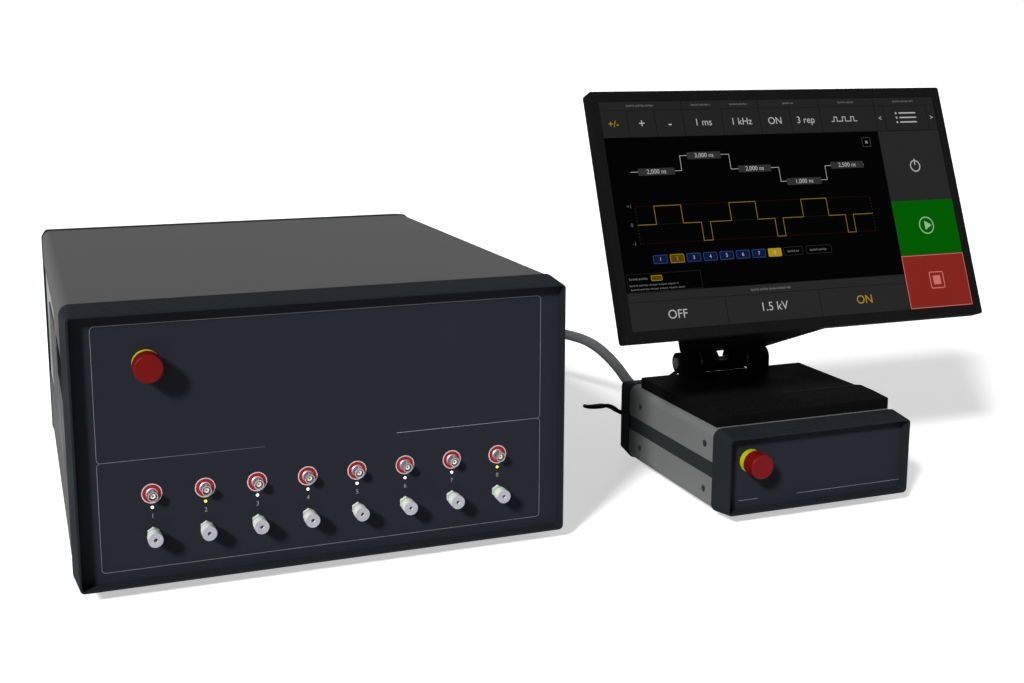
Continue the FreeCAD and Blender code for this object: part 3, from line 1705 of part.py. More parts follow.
def between(route, start, end):
    """Move a drawn route so that it joins two places, and share the change out evenly."""
    last = len(route) - 1
    start_shift = [number(start[axis]) - route[0][axis] for axis in range(3)]
    end_shift = [number(end[axis]) - route[last][axis] for axis in range(3)]
    points = []
    for index, point in enumerate(route):
        share = index / last
        points.append(Vector(*(
            point[axis] + start_shift[axis] * (1 - share) + end_shift[axis] * share
            for axis in range(3)
        )))
    return points


def cord(label, points, radius):
    """Tube of straight runs joined by arcs that are as large as the runs allow."""
    edges = []
    here = points[0]
    for before, corner, after in zip(points, points[1:], points[2:]):
        shorter = min((corner - before).Length, (after - corner).Length)
        turn_angle = (corner - before).getAngle(after - corner)
        bend = ARC_SHARE * shorter / math.tan(turn_angle / 2)
        print("%s: bend radius %.0f, run %.0f, turn %.0f degrees" % (
            label, bend, (corner - before).Length, math.degrees(turn_angle)))
        begin, end, centre = corner_arc(corner, before, after, bend)
        middle = centre + (corner - centre).normalize() * bend
        edges.append(Part.LineSegment(here, begin).toShape())
        arc = Part.Arc(begin, middle, end).toShape()
        edges.append(arc)
        here = end
    edges.append(Part.LineSegment(here, points[-1]).toShape())
    length = sum(edge.Length for edge in edges)
    path = Part.Wire(edges)
    ring = Part.Circle(points[0], points[1] - points[0], number(radius))
    tube = path.makePipeShell([Part.Wire(ring.toShape())], True, False)
    expected = math.pi * number(radius) ** 2 * length
    print("%s: length %.0f, volume over section times length %.4f" % (
        label, length, tube.Volume / expected))
    item = doc.addObject("Part::Feature", label)
    item.Label = label
    item.Shape = tube
    nodes.append(item)


def build():
    for unit in (generator, control):
        bezel(unit)
        bezel(unit, rear=True)
    generator_front()
    generator_back()
    control_panels()
    cover(generator, "generator_top_cover", size.generator_top_skirt, True)
    cover(generator, "generator_bottom_cover", size.generator_bottom_skirt, False)
    feet(generator, size.foot_inset)
    feet(control, size.control_foot_inset)
    chassis()
    side_panels()
    side_grips()
    channel_rings()
    jack_bodies()
    jack_insulators()
    jack_contacts()
    jack_nuts()
    channel_lamps()
    output_sockets()
    emergency_stop(generator, shifted(generator.place, x=-generator_stop_left,
                                      z=size.generator_stop_rise))
    pulse_boards()
    capacitors()
    supplies()
    fan()
    mains_inlet()
    cable_glands()
    control_covers()
    side_screws()
    emergency_stop(control, shifted(control.place, x=-control_stop_left,
                                    z=size.control_stop_rise))
    control_inside()
    lead_plug()
    stand_base()
    hinge_pin()
    neck()
    display()
    cord("link_cable", between(
        LINK_CABLE_ROUTE,
        shifted(control.place, x=-control_gland_left, z=size.control_gland_rise,
                y=control.rear_panel + size.gland_length),
        shifted(generator.place, x=generator_gland_right, z=-size.generator_gland_drop,
                y=generator.rear_panel + size.gland_length),
    ), size.link_cable_radius)
    cord("display_lead", between(
        DISPLAY_LEAD_ROUTE,
        shifted(stand_place, x=-size.display_lead_left, y=size.stand_length,
                z=size.display_lead_rise),
        shifted(control.place, x=-size.plug_side, z=-size.plug_drop,
                y=control.rear_panel + size.plug_length + size.plug_relief_length),
    ), size.display_lead_radius)


def check():
    """Stop if any object failed, any cut removed nothing or any sub-part is broken."""
    for item in doc.Objects:
        if "Invalid" in item.State or "Error" in item.State:
            raise RuntimeError("%s failed: %s" % (item.Label, item.State))
    for feature in cuts:
        before = feature.BaseFeature.Shape.Volume
        if not feature.Shape.Volume < before:
            raise RuntimeError("%s removes nothing" % feature.Label)
    for node in nodes:
        if node.Shape.isNull() or not node.Shape.isValid():
            raise RuntimeError("%s has no valid shape" % node.Label)


build()
doc.recompute()
check()
os.makedirs("parts", exist_ok=True)
for node in nodes:
    node.Shape.exportStep("parts/%s.step" % node.Label)
print("%d sub-parts" % len(nodes))
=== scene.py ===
import json
import math

import bpy
from mathutils import Matrix, Vector


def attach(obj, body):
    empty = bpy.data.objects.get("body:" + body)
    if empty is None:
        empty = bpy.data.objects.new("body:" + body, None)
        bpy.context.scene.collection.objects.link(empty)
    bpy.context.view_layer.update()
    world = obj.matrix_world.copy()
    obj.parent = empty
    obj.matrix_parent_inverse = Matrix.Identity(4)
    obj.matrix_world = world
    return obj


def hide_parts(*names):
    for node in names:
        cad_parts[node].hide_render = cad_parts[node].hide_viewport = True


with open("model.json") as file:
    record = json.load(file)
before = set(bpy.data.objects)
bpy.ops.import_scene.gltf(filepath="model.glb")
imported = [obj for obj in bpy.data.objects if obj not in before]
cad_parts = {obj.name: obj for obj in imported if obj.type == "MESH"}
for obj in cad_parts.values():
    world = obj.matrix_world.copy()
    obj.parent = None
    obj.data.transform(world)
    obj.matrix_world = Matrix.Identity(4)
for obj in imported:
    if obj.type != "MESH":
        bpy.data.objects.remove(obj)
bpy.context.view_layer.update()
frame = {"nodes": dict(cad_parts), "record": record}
NODES = frame["nodes"]

# Places and sizes that the solids set, in metres
GENERATOR_PANEL = -0.2684
CONTROL_PANEL = -0.2976
FIRST_CHANNEL = -0.438525
CHANNEL_PITCH = 0.05
CHANNELS = 8
RING_HEIGHT = 0.0995
HINGE_AXIS = (0.280975, -0.0904, 0.1291)
LINK_RADIUS = 0.007
LEAD_RADIUS = 0.0025

# Camera: the photograph's viewpoint, a little above the cases and to their left
CAMERA_PLACE = (-0.5478, -1.4657, 0.5145)
CAMERA_TURN = (80, 0, -20)
FOCAL_LENGTH = 45.206
SENSOR_WIDTH = 36
SHIFT_ACROSS = 0.0352
SHIFT_UP = -0.0650
FARTHEST_SEEN = 50


def place_camera():
    lens = bpy.data.cameras.new("camera")
    lens.lens = FOCAL_LENGTH
    lens.sensor_width = SENSOR_WIDTH
    lens.shift_x = SHIFT_ACROSS
    lens.shift_y = SHIFT_UP
    lens.clip_end = FARTHEST_SEEN
    camera = bpy.data.objects.new("camera", lens)
    camera.location = CAMERA_PLACE
    camera.rotation_euler = [math.radians(turn) for turn in CAMERA_TURN]
    bpy.context.scene.collection.objects.link(camera)
    bpy.context.scene.camera = camera


# Cords: the thick link cable between the cases and the thin lead of the display
LINK_CABLE = [
    (0.202075, -0.0489, 0.0756), (0.202075, -0.005, 0.0756), (0.203, 0.050, 0.098),
    (0.199, 0.115, 0.113), (0.188, 0.178, 0.112), (0.179, 0.244, 0.103),
    (0.168, 0.310, 0.092), (0.152, 0.372, 0.084), (0.118, 0.420, 0.079),
    (0.066, 0.448, 0.077), (0.010, 0.450, 0.076), (-0.041, 0.424, 0.0755),
    (-0.068525, 0.373, 0.0755), (-0.068525, 0.3231, 0.0755),
]
DISPLAY_LEAD = [
    (0.254575, -0.0939, 0.1106), (0.254575, -0.06, 0.1106), (0.252, -0.024, 0.1),
    (0.232, -0.014, 0.072), (0.204, -0.026, 0.052), (0.17, -0.042, 0.0535),
    (0.152, -0.042, 0.0693), (0.137, -0.042, 0.0678), (0.1264, -0.0314, 0.0658),
    (0.1264, -0.0164, 0.0638), (0.137, -0.0058, 0.0582), (0.165, -0.0058, 0.0588),
    (0.184, -0.004, 0.0445), (0.212, 0.002, 0.0465), (0.236, 0.011, 0.049),
    (0.252, 0.008, 0.0496), (0.261575, -0.008, 0.0496), (0.261575, -0.0289, 0.0496),
]


def lay_cord(name, route, radius, material):
    curve = bpy.data.curves.new(name, "CURVE")
    curve.dimensions = "3D"
    curve.resolution_u = 12
    curve.bevel_depth = radius
    curve.bevel_resolution = 5
    curve.use_fill_caps = True
    line = curve.splines.new("NURBS")
    line.points.add(len(route) - 1)
    for point, place in zip(line.points, route):
        point.co = (*place, 1)
    line.order_u = 3
    line.use_endpoint_u = True
    cord = bpy.data.objects.new(name, curve)
    bpy.context.scene.collection.objects.link(cord)
    curve.materials.append(material)
    return cord


# Colours are written as on a paint card, from 0 to 255
def card(red, green, blue):
    parts = []
    for part in (red / 255, green / 255, blue / 255):
        parts.append(part / 12.92 if part <= 0.04045 else ((part + 0.055) / 1.055) ** 2.4)
    return (*parts, 1)


# Shared surface effects
def start_effect(name, inputs, outputs):
    tree = bpy.data.node_groups.new(name, "ShaderNodeTree")
    for label, value in inputs.items():
        socket = tree.interface.new_socket(label, in_out="INPUT", socket_type="NodeSocketFloat")
        socket.default_value = value
    for label in outputs:
        tree.interface.new_socket(label, in_out="OUTPUT", socket_type="NodeSocketFloat")
    given = tree.nodes.new("NodeGroupInput")
    result = tree.nodes.new("NodeGroupOutput")
    place = tree.nodes.new("ShaderNodeTexCoord").outputs["Object"]
    return tree, given, result, place


def add_math(tree, operation, first, second=None, third=None):
    node = tree.nodes.new("ShaderNodeMath")
    node.operation = operation
    for socket, value in zip(node.inputs, (first, second, third)):
        if value is None:
            continue
        if isinstance(value, (int, float)):
            socket.default_value = value
        else:
            tree.links.new(value, socket)
    return node.outputs[0]


def add_noise(tree, place, scale, detail, stretch=None):
    if stretch is not None:
        mapping = tree.nodes.new("ShaderNodeMapping")
        mapping.inputs["Scale"].default_value = stretch
        tree.links.new(place, mapping.inputs["Vector"])
        place = mapping.outputs["Vector"]
    noise = tree.nodes.new("ShaderNodeTexNoise")
    noise.inputs["Detail"].default_value = detail
    tree.links.new(place, noise.inputs["Vector"])
    if isinstance(scale, (int, float)):
        noise.inputs["Scale"].default_value = scale
    else:
        tree.links.new(scale, noise.inputs["Scale"])
    return noise.outputs["Fac"]


def add_range(tree, value, low, high, new_low=0, new_high=1):
    node = tree.nodes.new("ShaderNodeMapRange")
    node.inputs["From Min"].default_value = low
    node.inputs["From Max"].default_value = high
    node.inputs["To Min"].default_value = new_low
    node.inputs["To Max"].default_value = new_high
    tree.links.new(value, node.inputs["Value"])
    return node.outputs["Result"]


# The three parts of a place or a direction
def split_axes(tree, vector):
    node = tree.nodes.new("ShaderNodeSeparateXYZ")
    tree.links.new(vector, node.inputs[0])
    return node.outputs


# Fine grain of powder paint or an etched mould, with soft patches where hands and cloths pass
def make_grain():
    tree, given, result, place = start_effect(
        "surface_grain", {"Grain": 1400, "Patches": 18}, ["Height", "Patch", "Gloss"])
    grain = add_noise(tree, place, given.outputs["Grain"], 3)
    patch = add_range(tree, add_noise(tree, place, given.outputs["Patches"], 4), 0.3, 0.7)
    gloss = add_math(tree, "ADD", add_math(tree, "MULTIPLY", patch, 0.6),
                     add_math(tree, "MULTIPLY", grain, 0.4))
    tree.links.new(grain, result.inputs["Height"])
    tree.links.new(patch, result.inputs["Patch"])
    tree.links.new(gloss, result.inputs["Gloss"])
    return tree


# Dust that settles on faces that look up
def make_dust():
    tree, given, result, place = start_effect("settled_dust", {"Specks": 260}, ["Dust"])
    normal = tree.nodes.new("ShaderNodeNewGeometry").outputs["Normal"]
    upward = add_range(tree, split_axes(tree, normal)["Z"], 0.2, 1)
    specks = add_range(tree, add_noise(tree, place, given.outputs["Specks"], 5), 0.45, 0.8)
    drifts = add_range(tree, add_noise(tree, place, 9, 3), 0.3, 0.75, 0.25, 1)
    dust = add_math(tree, "MULTIPLY", upward, add_math(tree, "MULTIPLY", specks, drifts))
    tree.links.new(dust, result.inputs["Dust"])
    return tree


# Fine lines left by turning, drawing or brushing metal
def make_tool_lines(name, stretch):
    tree, given, result, place = start_effect(name, {"Lines": 60}, ["Line", "Smudge"])
    lines = add_noise(tree, place, given.outputs["Lines"], 6, stretch)
    smudge = add_range(tree, add_noise(tree, place, 90, 3), 0.3, 0.7)
    tree.links.new(add_range(tree, lines, 0.3, 0.7), result.inputs["Line"])
    tree.links.new(smudge, result.inputs["Smudge"])
    return tree


# Rows and columns of a screen's dots
def make_dots():
    tree, given, result, place = start_effect("screen_dots", {"Pitch": 0.00025}, ["Dots"])
    axes = split_axes(tree, place)
    waves = []
    for axis in ("X", "Z"):
        turns = add_math(tree, "DIVIDE", axes[axis], given.outputs["Pitch"])
        waves.append(add_math(tree, "SINE", add_math(tree, "MULTIPLY", turns, 2 * math.pi)))
    dots = add_range(tree, add_math(tree, "MULTIPLY", *waves), -1, 1, 0.55, 1)
    glow = add_range(tree, add_noise(tree, place, 7, 2), 0.3, 0.7, 0.85, 1)
    tree.links.new(add_math(tree, "MULTIPLY", dots, glow), result.inputs["Dots"])
    return tree


# Distance from the middle of the nearest ring label, one at each channel
def make_rings():
    tree, given, result, place = start_effect(
        "ring_bands", {"First": FIRST_CHANNEL, "Pitch": CHANNEL_PITCH, "Height": RING_HEIGHT},
        ["Radius"])
    axes = split_axes(tree, place)
    shifted = add_math(tree, "SUBTRACT", axes["X"], given.outputs["First"])
    half = add_math(tree, "MULTIPLY", given.outputs["Pitch"], 0.5)
    wrapped = add_math(tree, "FLOORED_MODULO", add_math(tree, "ADD", shifted, half),
                       given.outputs["Pitch"])
    across = add_math(tree, "SUBTRACT", wrapped, half)
    above = add_math(tree, "SUBTRACT", axes["Z"], given.outputs["Height"])
    radius = add_math(tree, "SQRT", add_math(
        tree, "ADD", add_math(tree, "MULTIPLY", across, across),
        add_math(tree, "MULTIPLY", above, above)))
    tree.links.new(radius, result.inputs["Radius"])
    return tree


GRAIN = make_grain()
DUST = make_dust()
TURNED = make_tool_lines("turned_lines", (1, 14, 1))
DRAWN = make_tool_lines("drawn_lines", (12, 0.4, 12))
DOTS = make_dots()
RINGS = make_rings()


# Making finishes
GRAIN_DEPTH = 0.0001
PRINT_DEPTH = 0.00003
TOOL_DEPTH = 0.00005
TOOL_LINES = 60
DUST_TONE = (150, 148, 142)
WORN_SPAN = (0.2, 0.8)


def start_finish(name):
    material = bpy.data.materials.new(name)
    material.use_nodes = True
    return material, material.node_tree, material.node_tree.nodes["Principled BSDF"]


def add_effect(tree, effect, **settings):
    node = tree.nodes.new("ShaderNodeGroup")
    node.node_tree = effect
    for label, value in settings.items():
        node.inputs[label].default_value = value
    return node.outputs


def add_blend(tree, factor, first, second, amount=1.0):
    node = tree.nodes.new("ShaderNodeMix")
    node.data_type = "RGBA"
    if amount < 1:
        factor = add_math(tree, "MULTIPLY", factor, amount)
    tree.links.new(factor, node.inputs["Factor"])
    for label, value in (("A", first), ("B", second)):
        socket = [s for s in node.inputs if s.name == label and s.type == "RGBA"][0]
        if isinstance(value, tuple):
            socket.default_value = value
        else:
            tree.links.new(value, socket)
    return [s for s in node.outputs if s.type == "RGBA"][0]


def add_bump(tree, shader, height, strength, depth):
    bump = tree.nodes.new("ShaderNodeBump")
    bump.inputs["Strength"].default_value = strength
    bump.inputs["Distance"].default_value = depth
    tree.links.new(height, bump.inputs["Height"])
    tree.links.new(bump.outputs["Normal"], shader.inputs["Normal"])


def set_roughness(tree, shader, wear, low, high, span=(0, 1)):
    tree.links.new(add_range(tree, wear, *span, low, high), shader.inputs["Roughness"])


# A grained, non-metal surface: powder paint, moulded plastic or rubber
def grained(name, deep, pale, rough=(0.45, 0.65), specular=0.2, bump=0.25, grain=1400,
            patches=18, dust=0.04):
    material, tree, shader = start_finish(name)
    surface = add_effect(tree, GRAIN, Grain=grain, Patches=patches)
    settled = add_effect(tree, DUST)
    colour = add_blend(tree, surface["Patch"], card(*deep), card(*pale))
    colour = add_blend(tree, settled["Dust"], colour, card(*DUST_TONE), dust)
    tree.links.new(colour, shader.inputs["Base Color"])
    set_roughness(tree, shader, surface["Gloss"], *rough, WORN_SPAN)
    shader.inputs["Specular IOR Level"].default_value = specular
    add_bump(tree, shader, surface["Height"], bump, GRAIN_DEPTH)
    return material


# A worked metal surface, turned or drawn
def worked_metal(name, deep, pale, rough, effect):
    material, tree, shader = start_finish(name)
    surface = add_effect(tree, effect, Lines=TOOL_LINES)
    tree.links.new(add_blend(tree, surface["Line"], card(*deep), card(*pale)),
                   shader.inputs["Base Color"])
    wear = add_math(tree, "ADD", add_math(tree, "MULTIPLY", surface["Line"], 0.5),
                    add_math(tree, "MULTIPLY", surface["Smudge"], 0.5))
    set_roughness(tree, shader, wear, *rough, WORN_SPAN)
    shader.inputs["Metallic"].default_value = 1
    add_bump(tree, shader, surface["Line"], 0.15, TOOL_DEPTH)
    return material


# A lens with a lamp behind it, uneven in soft patches
def lamp_lens(name, deep, pale, strength):
    material, tree, shader = start_finish(name)
    surface = add_effect(tree, GRAIN, Grain=2400, Patches=500)
    glow = add_blend(tree, surface["Patch"], card(*deep), card(*pale))
    tree.links.new(glow, shader.inputs["Base Color"])
    tree.links.new(glow, shader.inputs["Emission Color"])
    shader.inputs["Emission Strength"].default_value = strength
    set_roughness(tree, shader, surface["Gloss"], 0.2, 0.35)
    return material


# A lit part of the screen's picture, a little darker between its dots
def lit_dots(name, colour):
    material, tree, shader = start_finish(name)
    dots = add_effect(tree, DOTS)
    shown = add_blend(tree, dots["Dots"], card(*(0.7 * part for part in colour)), card(*colour))
    tree.links.new(shown, shader.inputs["Emission Color"])
    shader.inputs["Emission Strength"].default_value = 1
    shader.inputs["Base Color"].default_value = (0, 0, 0, 1)
    set_roughness(tree, shader, dots["Dots"], 0.5, 0.4)
    shader.inputs["Specular IOR Level"].default_value = 0.008
    return material


# The printed label round a jack: a dark middle, then from these radii a red ring and a pale rim
RED_STARTS = (0.00562, 0.00578)
RIM_STARTS = (0.00874, 0.0089)


def ring_label():
    material, tree, shader = start_finish("ring_print")
    radius = add_effect(tree, RINGS)["Radius"]
    surface = add_effect(tree, GRAIN, Grain=2600, Patches=300)
    red = add_blend(tree, surface["Patch"], card(134, 4, 10), card(152, 8, 16))
    rim = add_blend(tree, surface["Patch"], card(178, 172, 176), card(194, 188, 192))
    colour = add_blend(tree, add_range(tree, radius, *RED_STARTS), card(30, 32, 36), red)
    colour = add_blend(tree, add_range(tree, radius, *RIM_STARTS), colour, rim)
    tree.links.new(colour, shader.inputs["Base Color"])
    set_roughness(tree, shader, surface["Gloss"], 0.4, 0.55)
    shader.inputs["Specular IOR Level"].default_value = 0.2
    add_bump(tree, shader, surface["Height"], 0.15, PRINT_DEPTH)
    return material


# The sockets' moulding with painted shading: pale, warm sides as if lit, a cooler, darker front
# face
def socket_moulding_painted_shade():
    material, tree, shader = start_finish("socket_plastic")
    surface = add_effect(tree, GRAIN, Grain=2200, Patches=240)
    normal = tree.nodes.new("ShaderNodeNewGeometry").outputs["True Normal"]
    # Painted shade by facing: faces that point forward get the darker tone, the rest the lit one
    shaded_front_mask = add_range(tree, split_axes(tree, normal)["Y"], -0.5, -0.9)
    side = add_blend(tree, surface["Patch"], card(200, 202, 198), card(210, 212, 208))
    shaded_face_tone = add_blend(tree, surface["Patch"], card(158, 158, 168), card(166, 166, 177))
    tree.links.new(add_blend(tree, shaded_front_mask, side, shaded_face_tone), shader.inputs["Base Color"])
    set_roughness(tree, shader, surface["Gloss"], 0.4, 0.55)
    shader.inputs["Specular IOR Level"].default_value = 0.2
    add_bump(tree, shader, surface["Height"], 0.1, GRAIN_DEPTH)
    return material


# Green lacquer over copper tracks
def circuit_board():
    material, tree, shader = start_finish("circuit_board")
    surface = add_effect(tree, GRAIN, Grain=900, Patches=60)
    tracks = tree.nodes.new("ShaderNodeTexBrick")
    tracks.inputs["Scale"].default_value = 60
    tracks.inputs["Mortar Size"].default_value = 0.03
    tree.links.new(tree.nodes.new("ShaderNodeTexCoord").outputs["Object"], tracks.inputs["Vector"])
    lacquer = add_blend(tree, surface["Patch"], card(12, 58, 34), card(18, 74, 42))
    colour = add_blend(tree, tracks.outputs["Fac"], lacquer, card(46, 112, 58), 0.7)
    tree.links.new(colour, shader.inputs["Base Color"])
    set_roughness(tree, shader, surface["Gloss"], 0.3, 0.45)
    add_bump(tree, shader, tracks.outputs["Fac"], 0.3, GRAIN_DEPTH)
    return material


# The screen's glass: near black, with faint smears of fingers
def screen_glass():
    material, tree, shader = start_finish("screen_glass")
    surface = add_effect(tree, GRAIN, Grain=400, Patches=22)
    tree.links.new(add_blend(tree, surface["Patch"], card(1, 1, 2), card(4, 4, 5)),
                   shader.inputs["Base Color"])
    set_roughness(tree, shader, surface["Gloss"], 0.25, 0.42, WORN_SPAN)
    shader.inputs["Specular IOR Level"].default_value = 0.03
    return material


# Grained finishes: deep tone, pale tone and what differs from the usual grain
GRAINED = {
    "bezel_plastic": ((31, 35, 39), (33, 37, 41), {"specular": 0.002}),
    "panel_paint": ((34, 37, 43), (36, 39, 45), {"specular": 0.006, "grain": 1800}),
    "cover_paint": ((82, 82, 82), (83, 83, 83), {
        "rough": (0.56, 0.6), "specular": 0.006, "grain": 1100, "patches": 12, "dust": 0.01}),
    "control_cover_paint": ((101, 102, 102), (104, 105, 105), {
        "specular": 0.04, "grain": 1100, "bump": 0.35}),
    "side_panel_paint": ((38, 41, 45), (42, 45, 49), {"specular": 0.06, "grain": 1100}),
    "chassis_paint": ((120, 122, 124), (132, 134, 136), {"grain": 900}),
    "grip_plastic": ((22, 23, 25), (27, 28, 30), {"specular": 0.08, "bump": 0.4, "grain": 900}),
    "foot_rubber": ((20, 20, 21), (27, 27, 28), {
        "rough": (0.7, 0.9), "specular": 0.08, "grain": 700}),
    "insulator": ((214, 212, 206), (228, 226, 220), {"specular": 0.3}),
    "socket_green": ((112, 180, 120), (128, 196, 134), {"grain": 2200}),
    "stop_yellow": ((162, 164, 0), (174, 176, 4), {
        "rough": (0.3, 0.45), "specular": 0.3, "bump": 0.12, "grain": 2000}),
    "stop_red": ((100, 10, 12), (108, 12, 14), {
        "rough": (0.35, 0.5), "specular": 0.08, "bump": 0.12, "grain": 2000}),
    "stop_inner": ((24, 24, 26), (30, 30, 32), {"specular": 0.1}),
    "capacitor_sleeve": ((30, 34, 74), (36, 40, 84), {"specular": 0.4}),
    "fan_plastic": ((22, 22, 24), (28, 28, 30), {"specular": 0.15}),
    "inlet_plastic": ((20, 20, 21), (26, 26, 27), {"specular": 0.15}),
    "gland_plastic": ((34, 35, 37), (40, 41, 43), {"specular": 0.15}),
    "rail_anodised": ((37, 41, 42), (39, 43, 44), {
        "rough": (0.35, 0.5), "specular": 0.006, "grain": 600, "patches": 40}),
    "cable_jacket": ((76, 77, 78), (84, 85, 86), {
        "rough": (0.5, 0.65), "specular": 0.12, "bump": 0.2, "grain": 800}),
    "lead_jacket": ((12, 12, 13), (17, 17, 18), {
        "rough": (0.4, 0.55), "specular": 0.03, "bump": 0.2}),
    "plug_plastic": ((20, 20, 21), (26, 26, 27), {"specular": 0.1}),
    "stand_plastic": ((13, 13, 13), (16, 16, 16), {"specular": 0.001, "grain": 1000}),
    "display_plastic": ((17, 17, 17), (19, 19, 19), {"specular": 0.004, "grain": 1600}),
    "panel_print": ((124, 126, 128), (136, 138, 140), {
        "specular": 0.02, "grain": 3000, "bump": 0.08, "dust": 0}),
}

# Metal finishes: deep tone, pale tone, roughness and the lines of the tool
METALS = {
    "nickel": ((146, 147, 151), (192, 193, 198), (0.42, 0.58), TURNED),
    "gold_contact": ((176, 136, 62), (214, 176, 96), (0.2, 0.35), TURNED),
    "module_metal": ((120, 122, 124), (150, 152, 154), (0.35, 0.5), DRAWN),
    "supply_metal": ((150, 152, 154), (176, 178, 180), (0.35, 0.5), DRAWN),
    "screw_steel": ((48, 48, 50), (74, 74, 76), (0.45, 0.6), TURNED),
    "hinge_steel": ((60, 60, 62), (84, 84, 86), (0.35, 0.5), TURNED),
}

FINISHES = {
    "ring_print": ring_label(),
    "lamp_white": lamp_lens("lamp_white", (236, 238, 240), (255, 255, 255), 0.9),
    "lamp_yellow": lamp_lens("lamp_yellow", (214, 200, 20), (240, 228, 60), 0.8),
    "socket_plastic": socket_moulding_painted_shade(),
    "circuit_board": circuit_board(),
    "screen_glass": screen_glass(),
}
for name, (deep, pale, differs) in GRAINED.items():
    FINISHES[name] = grained(name, deep, pale, **differs)
for name, (deep, pale, rough, effect) in METALS.items():
    FINISHES[name] = worked_metal(name, deep, pale, rough, effect)
for row in frame["record"]["subparts"]:
    for holder in NODES[row["node"]].material_slots:
        holder.material = FINISHES[row["material_slot"]]


# Making pieces
def clear_choice():
    if bpy.context.mode != "OBJECT":
        bpy.ops.object.mode_set(mode="OBJECT")
    bpy.ops.object.select_all(action="DESELECT")


def choose(*pieces):
    clear_choice()
    for piece in pieces:
        piece.select_set(True)
    bpy.context.view_layer.objects.active = pieces[0]


# Names the piece that was just added, and its mesh
def name_piece(name):
    piece = bpy.context.object
    piece.name = name
    piece.data.name = name
    return piece


# Turns a piece drawn flat on the ground into its place, for good
def set_in(piece, plane):
    choose(piece)
    piece.matrix_world = plane @ piece.matrix_world
    bpy.ops.object.transform_apply(location=True, rotation=True, scale=True)


def upright(y):
    return Matrix.Translation((0, y, 0)) @ Matrix.Rotation(math.radians(90), 4, "X")


def finish_piece(piece, body, slot, *finishes):
    if finishes:
        piece.data.materials.clear()
        for finish in finishes:
            piece.data.materials.append(finish)
    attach(piece, body)
    return piece


def thicken(piece, thickness):
    choose(piece)
    wall = piece.modifiers.new("thickness", "SOLIDIFY")
    wall.thickness = thickness
    wall.offset = 1
    bpy.ops.object.modifier_apply(modifier=wall.name)


# Turns the faces of the shape that is being edited outwards, and ends the edit
def face_outwards():
    bpy.ops.mesh.select_all(action="SELECT")
    bpy.ops.mesh.normals_make_consistent(inside=False)
    clear_choice()


def smooth(piece, degrees):
    choose(piece)
    bpy.ops.object.shade_smooth_by_angle(angle=math.radians(degrees))


# Gives the plane that was just added its size, and rounds its corners
def size_tile(left, bottom, right, top, middle, corner):
    bpy.ops.transform.resize(value=(right - left, top - bottom, 1), center_override=middle)
    if corner:
        bpy.ops.mesh.bevel(offset=corner, segments=4, affect="VERTICES")


# A flat tile in the drawing that is being edited
def add_tile(left, bottom, right, top, lift=0.0, corner=0.0):
    middle = ((left + right) / 2, (bottom + top) / 2, lift)
    bpy.ops.mesh.select_all(action="DESELECT")
    bpy.ops.mesh.primitive_plane_add(size=1, location=middle)
    size_tile(left, bottom, right, top, middle, corner)


# Leaves only a line round the tile or disc that was just added
def hollow(width):
    bpy.ops.mesh.select_mode(type="FACE")
    bpy.ops.mesh.inset(thickness=width)
    bpy.ops.mesh.delete(type="FACE")
    bpy.ops.mesh.select_mode(type="VERT")


# A new drawing with its first tile, left in edit mode for the next ones
def start_drawing(name, left, bottom, right, top):
    clear_choice()
    middle = ((left + right) / 2, (bottom + top) / 2, 0)
    bpy.ops.mesh.primitive_plane_add(size=1, location=middle)
    drawing = name_piece(name)
    bpy.ops.object.mode_set(mode="EDIT")
    bpy.ops.mesh.select_mode(type="VERT")
    size_tile(left, bottom, right, top, middle, 0)
    return drawing


CAPITAL_SHARE = 0.7


# Words whose capitals have the height given
def print_text(name, words, middle, height, plane, finish, thickness):
    clear_choice()
    bpy.ops.object.text_add(location=(0, 0, 0))
    text = name_piece(name)
    text.data.body = words
    text.data.size = height / CAPITAL_SHARE
    text.data.align_x = "CENTER"
    text.data.align_y = "CENTER"
    text.data.extrude = thickness / 2
    text.data.materials.append(finish)
    bpy.ops.object.convert(target="MESH")
    text = name_piece(name)
    set_in(text, plane @ Matrix.Translation((*middle, thickness / 2)))
    return text


# Boots: radius at the housing, radius at the tip, length
LINK_BOOT = (0.0118, 0.0078, 0.03)
LEAD_BOOT = (0.0046, 0.0029, 0.014)
BOOT_RIBS = 6
BOOT_ROOT = 0.12
GROOVE_DEPTH = 0.1
GROOVE_SLOPE, GROOVE_FLOOR, RIB_CREST = 0.03, 0.04, 0.0466


# Tapered boot with soft ribs where a cord leaves a housing; its steps are shares of its length
def cord_boot(name, place, tail, wide, narrow, length, slot):
    clear_choice()
    bpy.ops.mesh.primitive_circle_add(vertices=40, radius=wide, fill_type="NGON",
                                      location=(0, 0, 0))
    boot = name_piece(name)
    bpy.ops.object.mode_set(mode="EDIT")
    steps = [(wide, length * BOOT_ROOT)]
    for rib in range(BOOT_RIBS):
        share = (rib + 1) / BOOT_RIBS
        crest = wide + (narrow - wide) * share
        groove = crest - wide * GROOVE_DEPTH
        steps += [(groove, length * GROOVE_SLOPE), (groove, length * GROOVE_FLOOR),
                  (crest, length * GROOVE_SLOPE), (crest, length * RIB_CREST)]
    radius = wide
    height = 0
    for new_radius, rise in steps:
        height += rise
        bpy.ops.mesh.extrude_region_move(TRANSFORM_OT_translate={"value": (0, 0, rise)})
        ratio = new_radius / radius
        bpy.ops.transform.resize(value=(ratio, ratio, 1), center_override=(0, 0, height))
        radius = new_radius
    face_outwards()
    heading = (Vector(tail) - Vector(place)).to_track_quat("Z", "Y").to_matrix().to_4x4()
    set_in(boot, Matrix.Translation(place) @ heading)
    smooth(boot, 50)
    finish_piece(boot, "cases", slot, FINISHES[slot])


# The lip behind the stand's plate: radii round the hinge's pin, width, and where its arc runs
LIP_INNER = 0.0134
LIP_OUTER = 0.0141
LIP_WIDTH = 0.0704
LIP_START = -14
LIP_ARC = -76


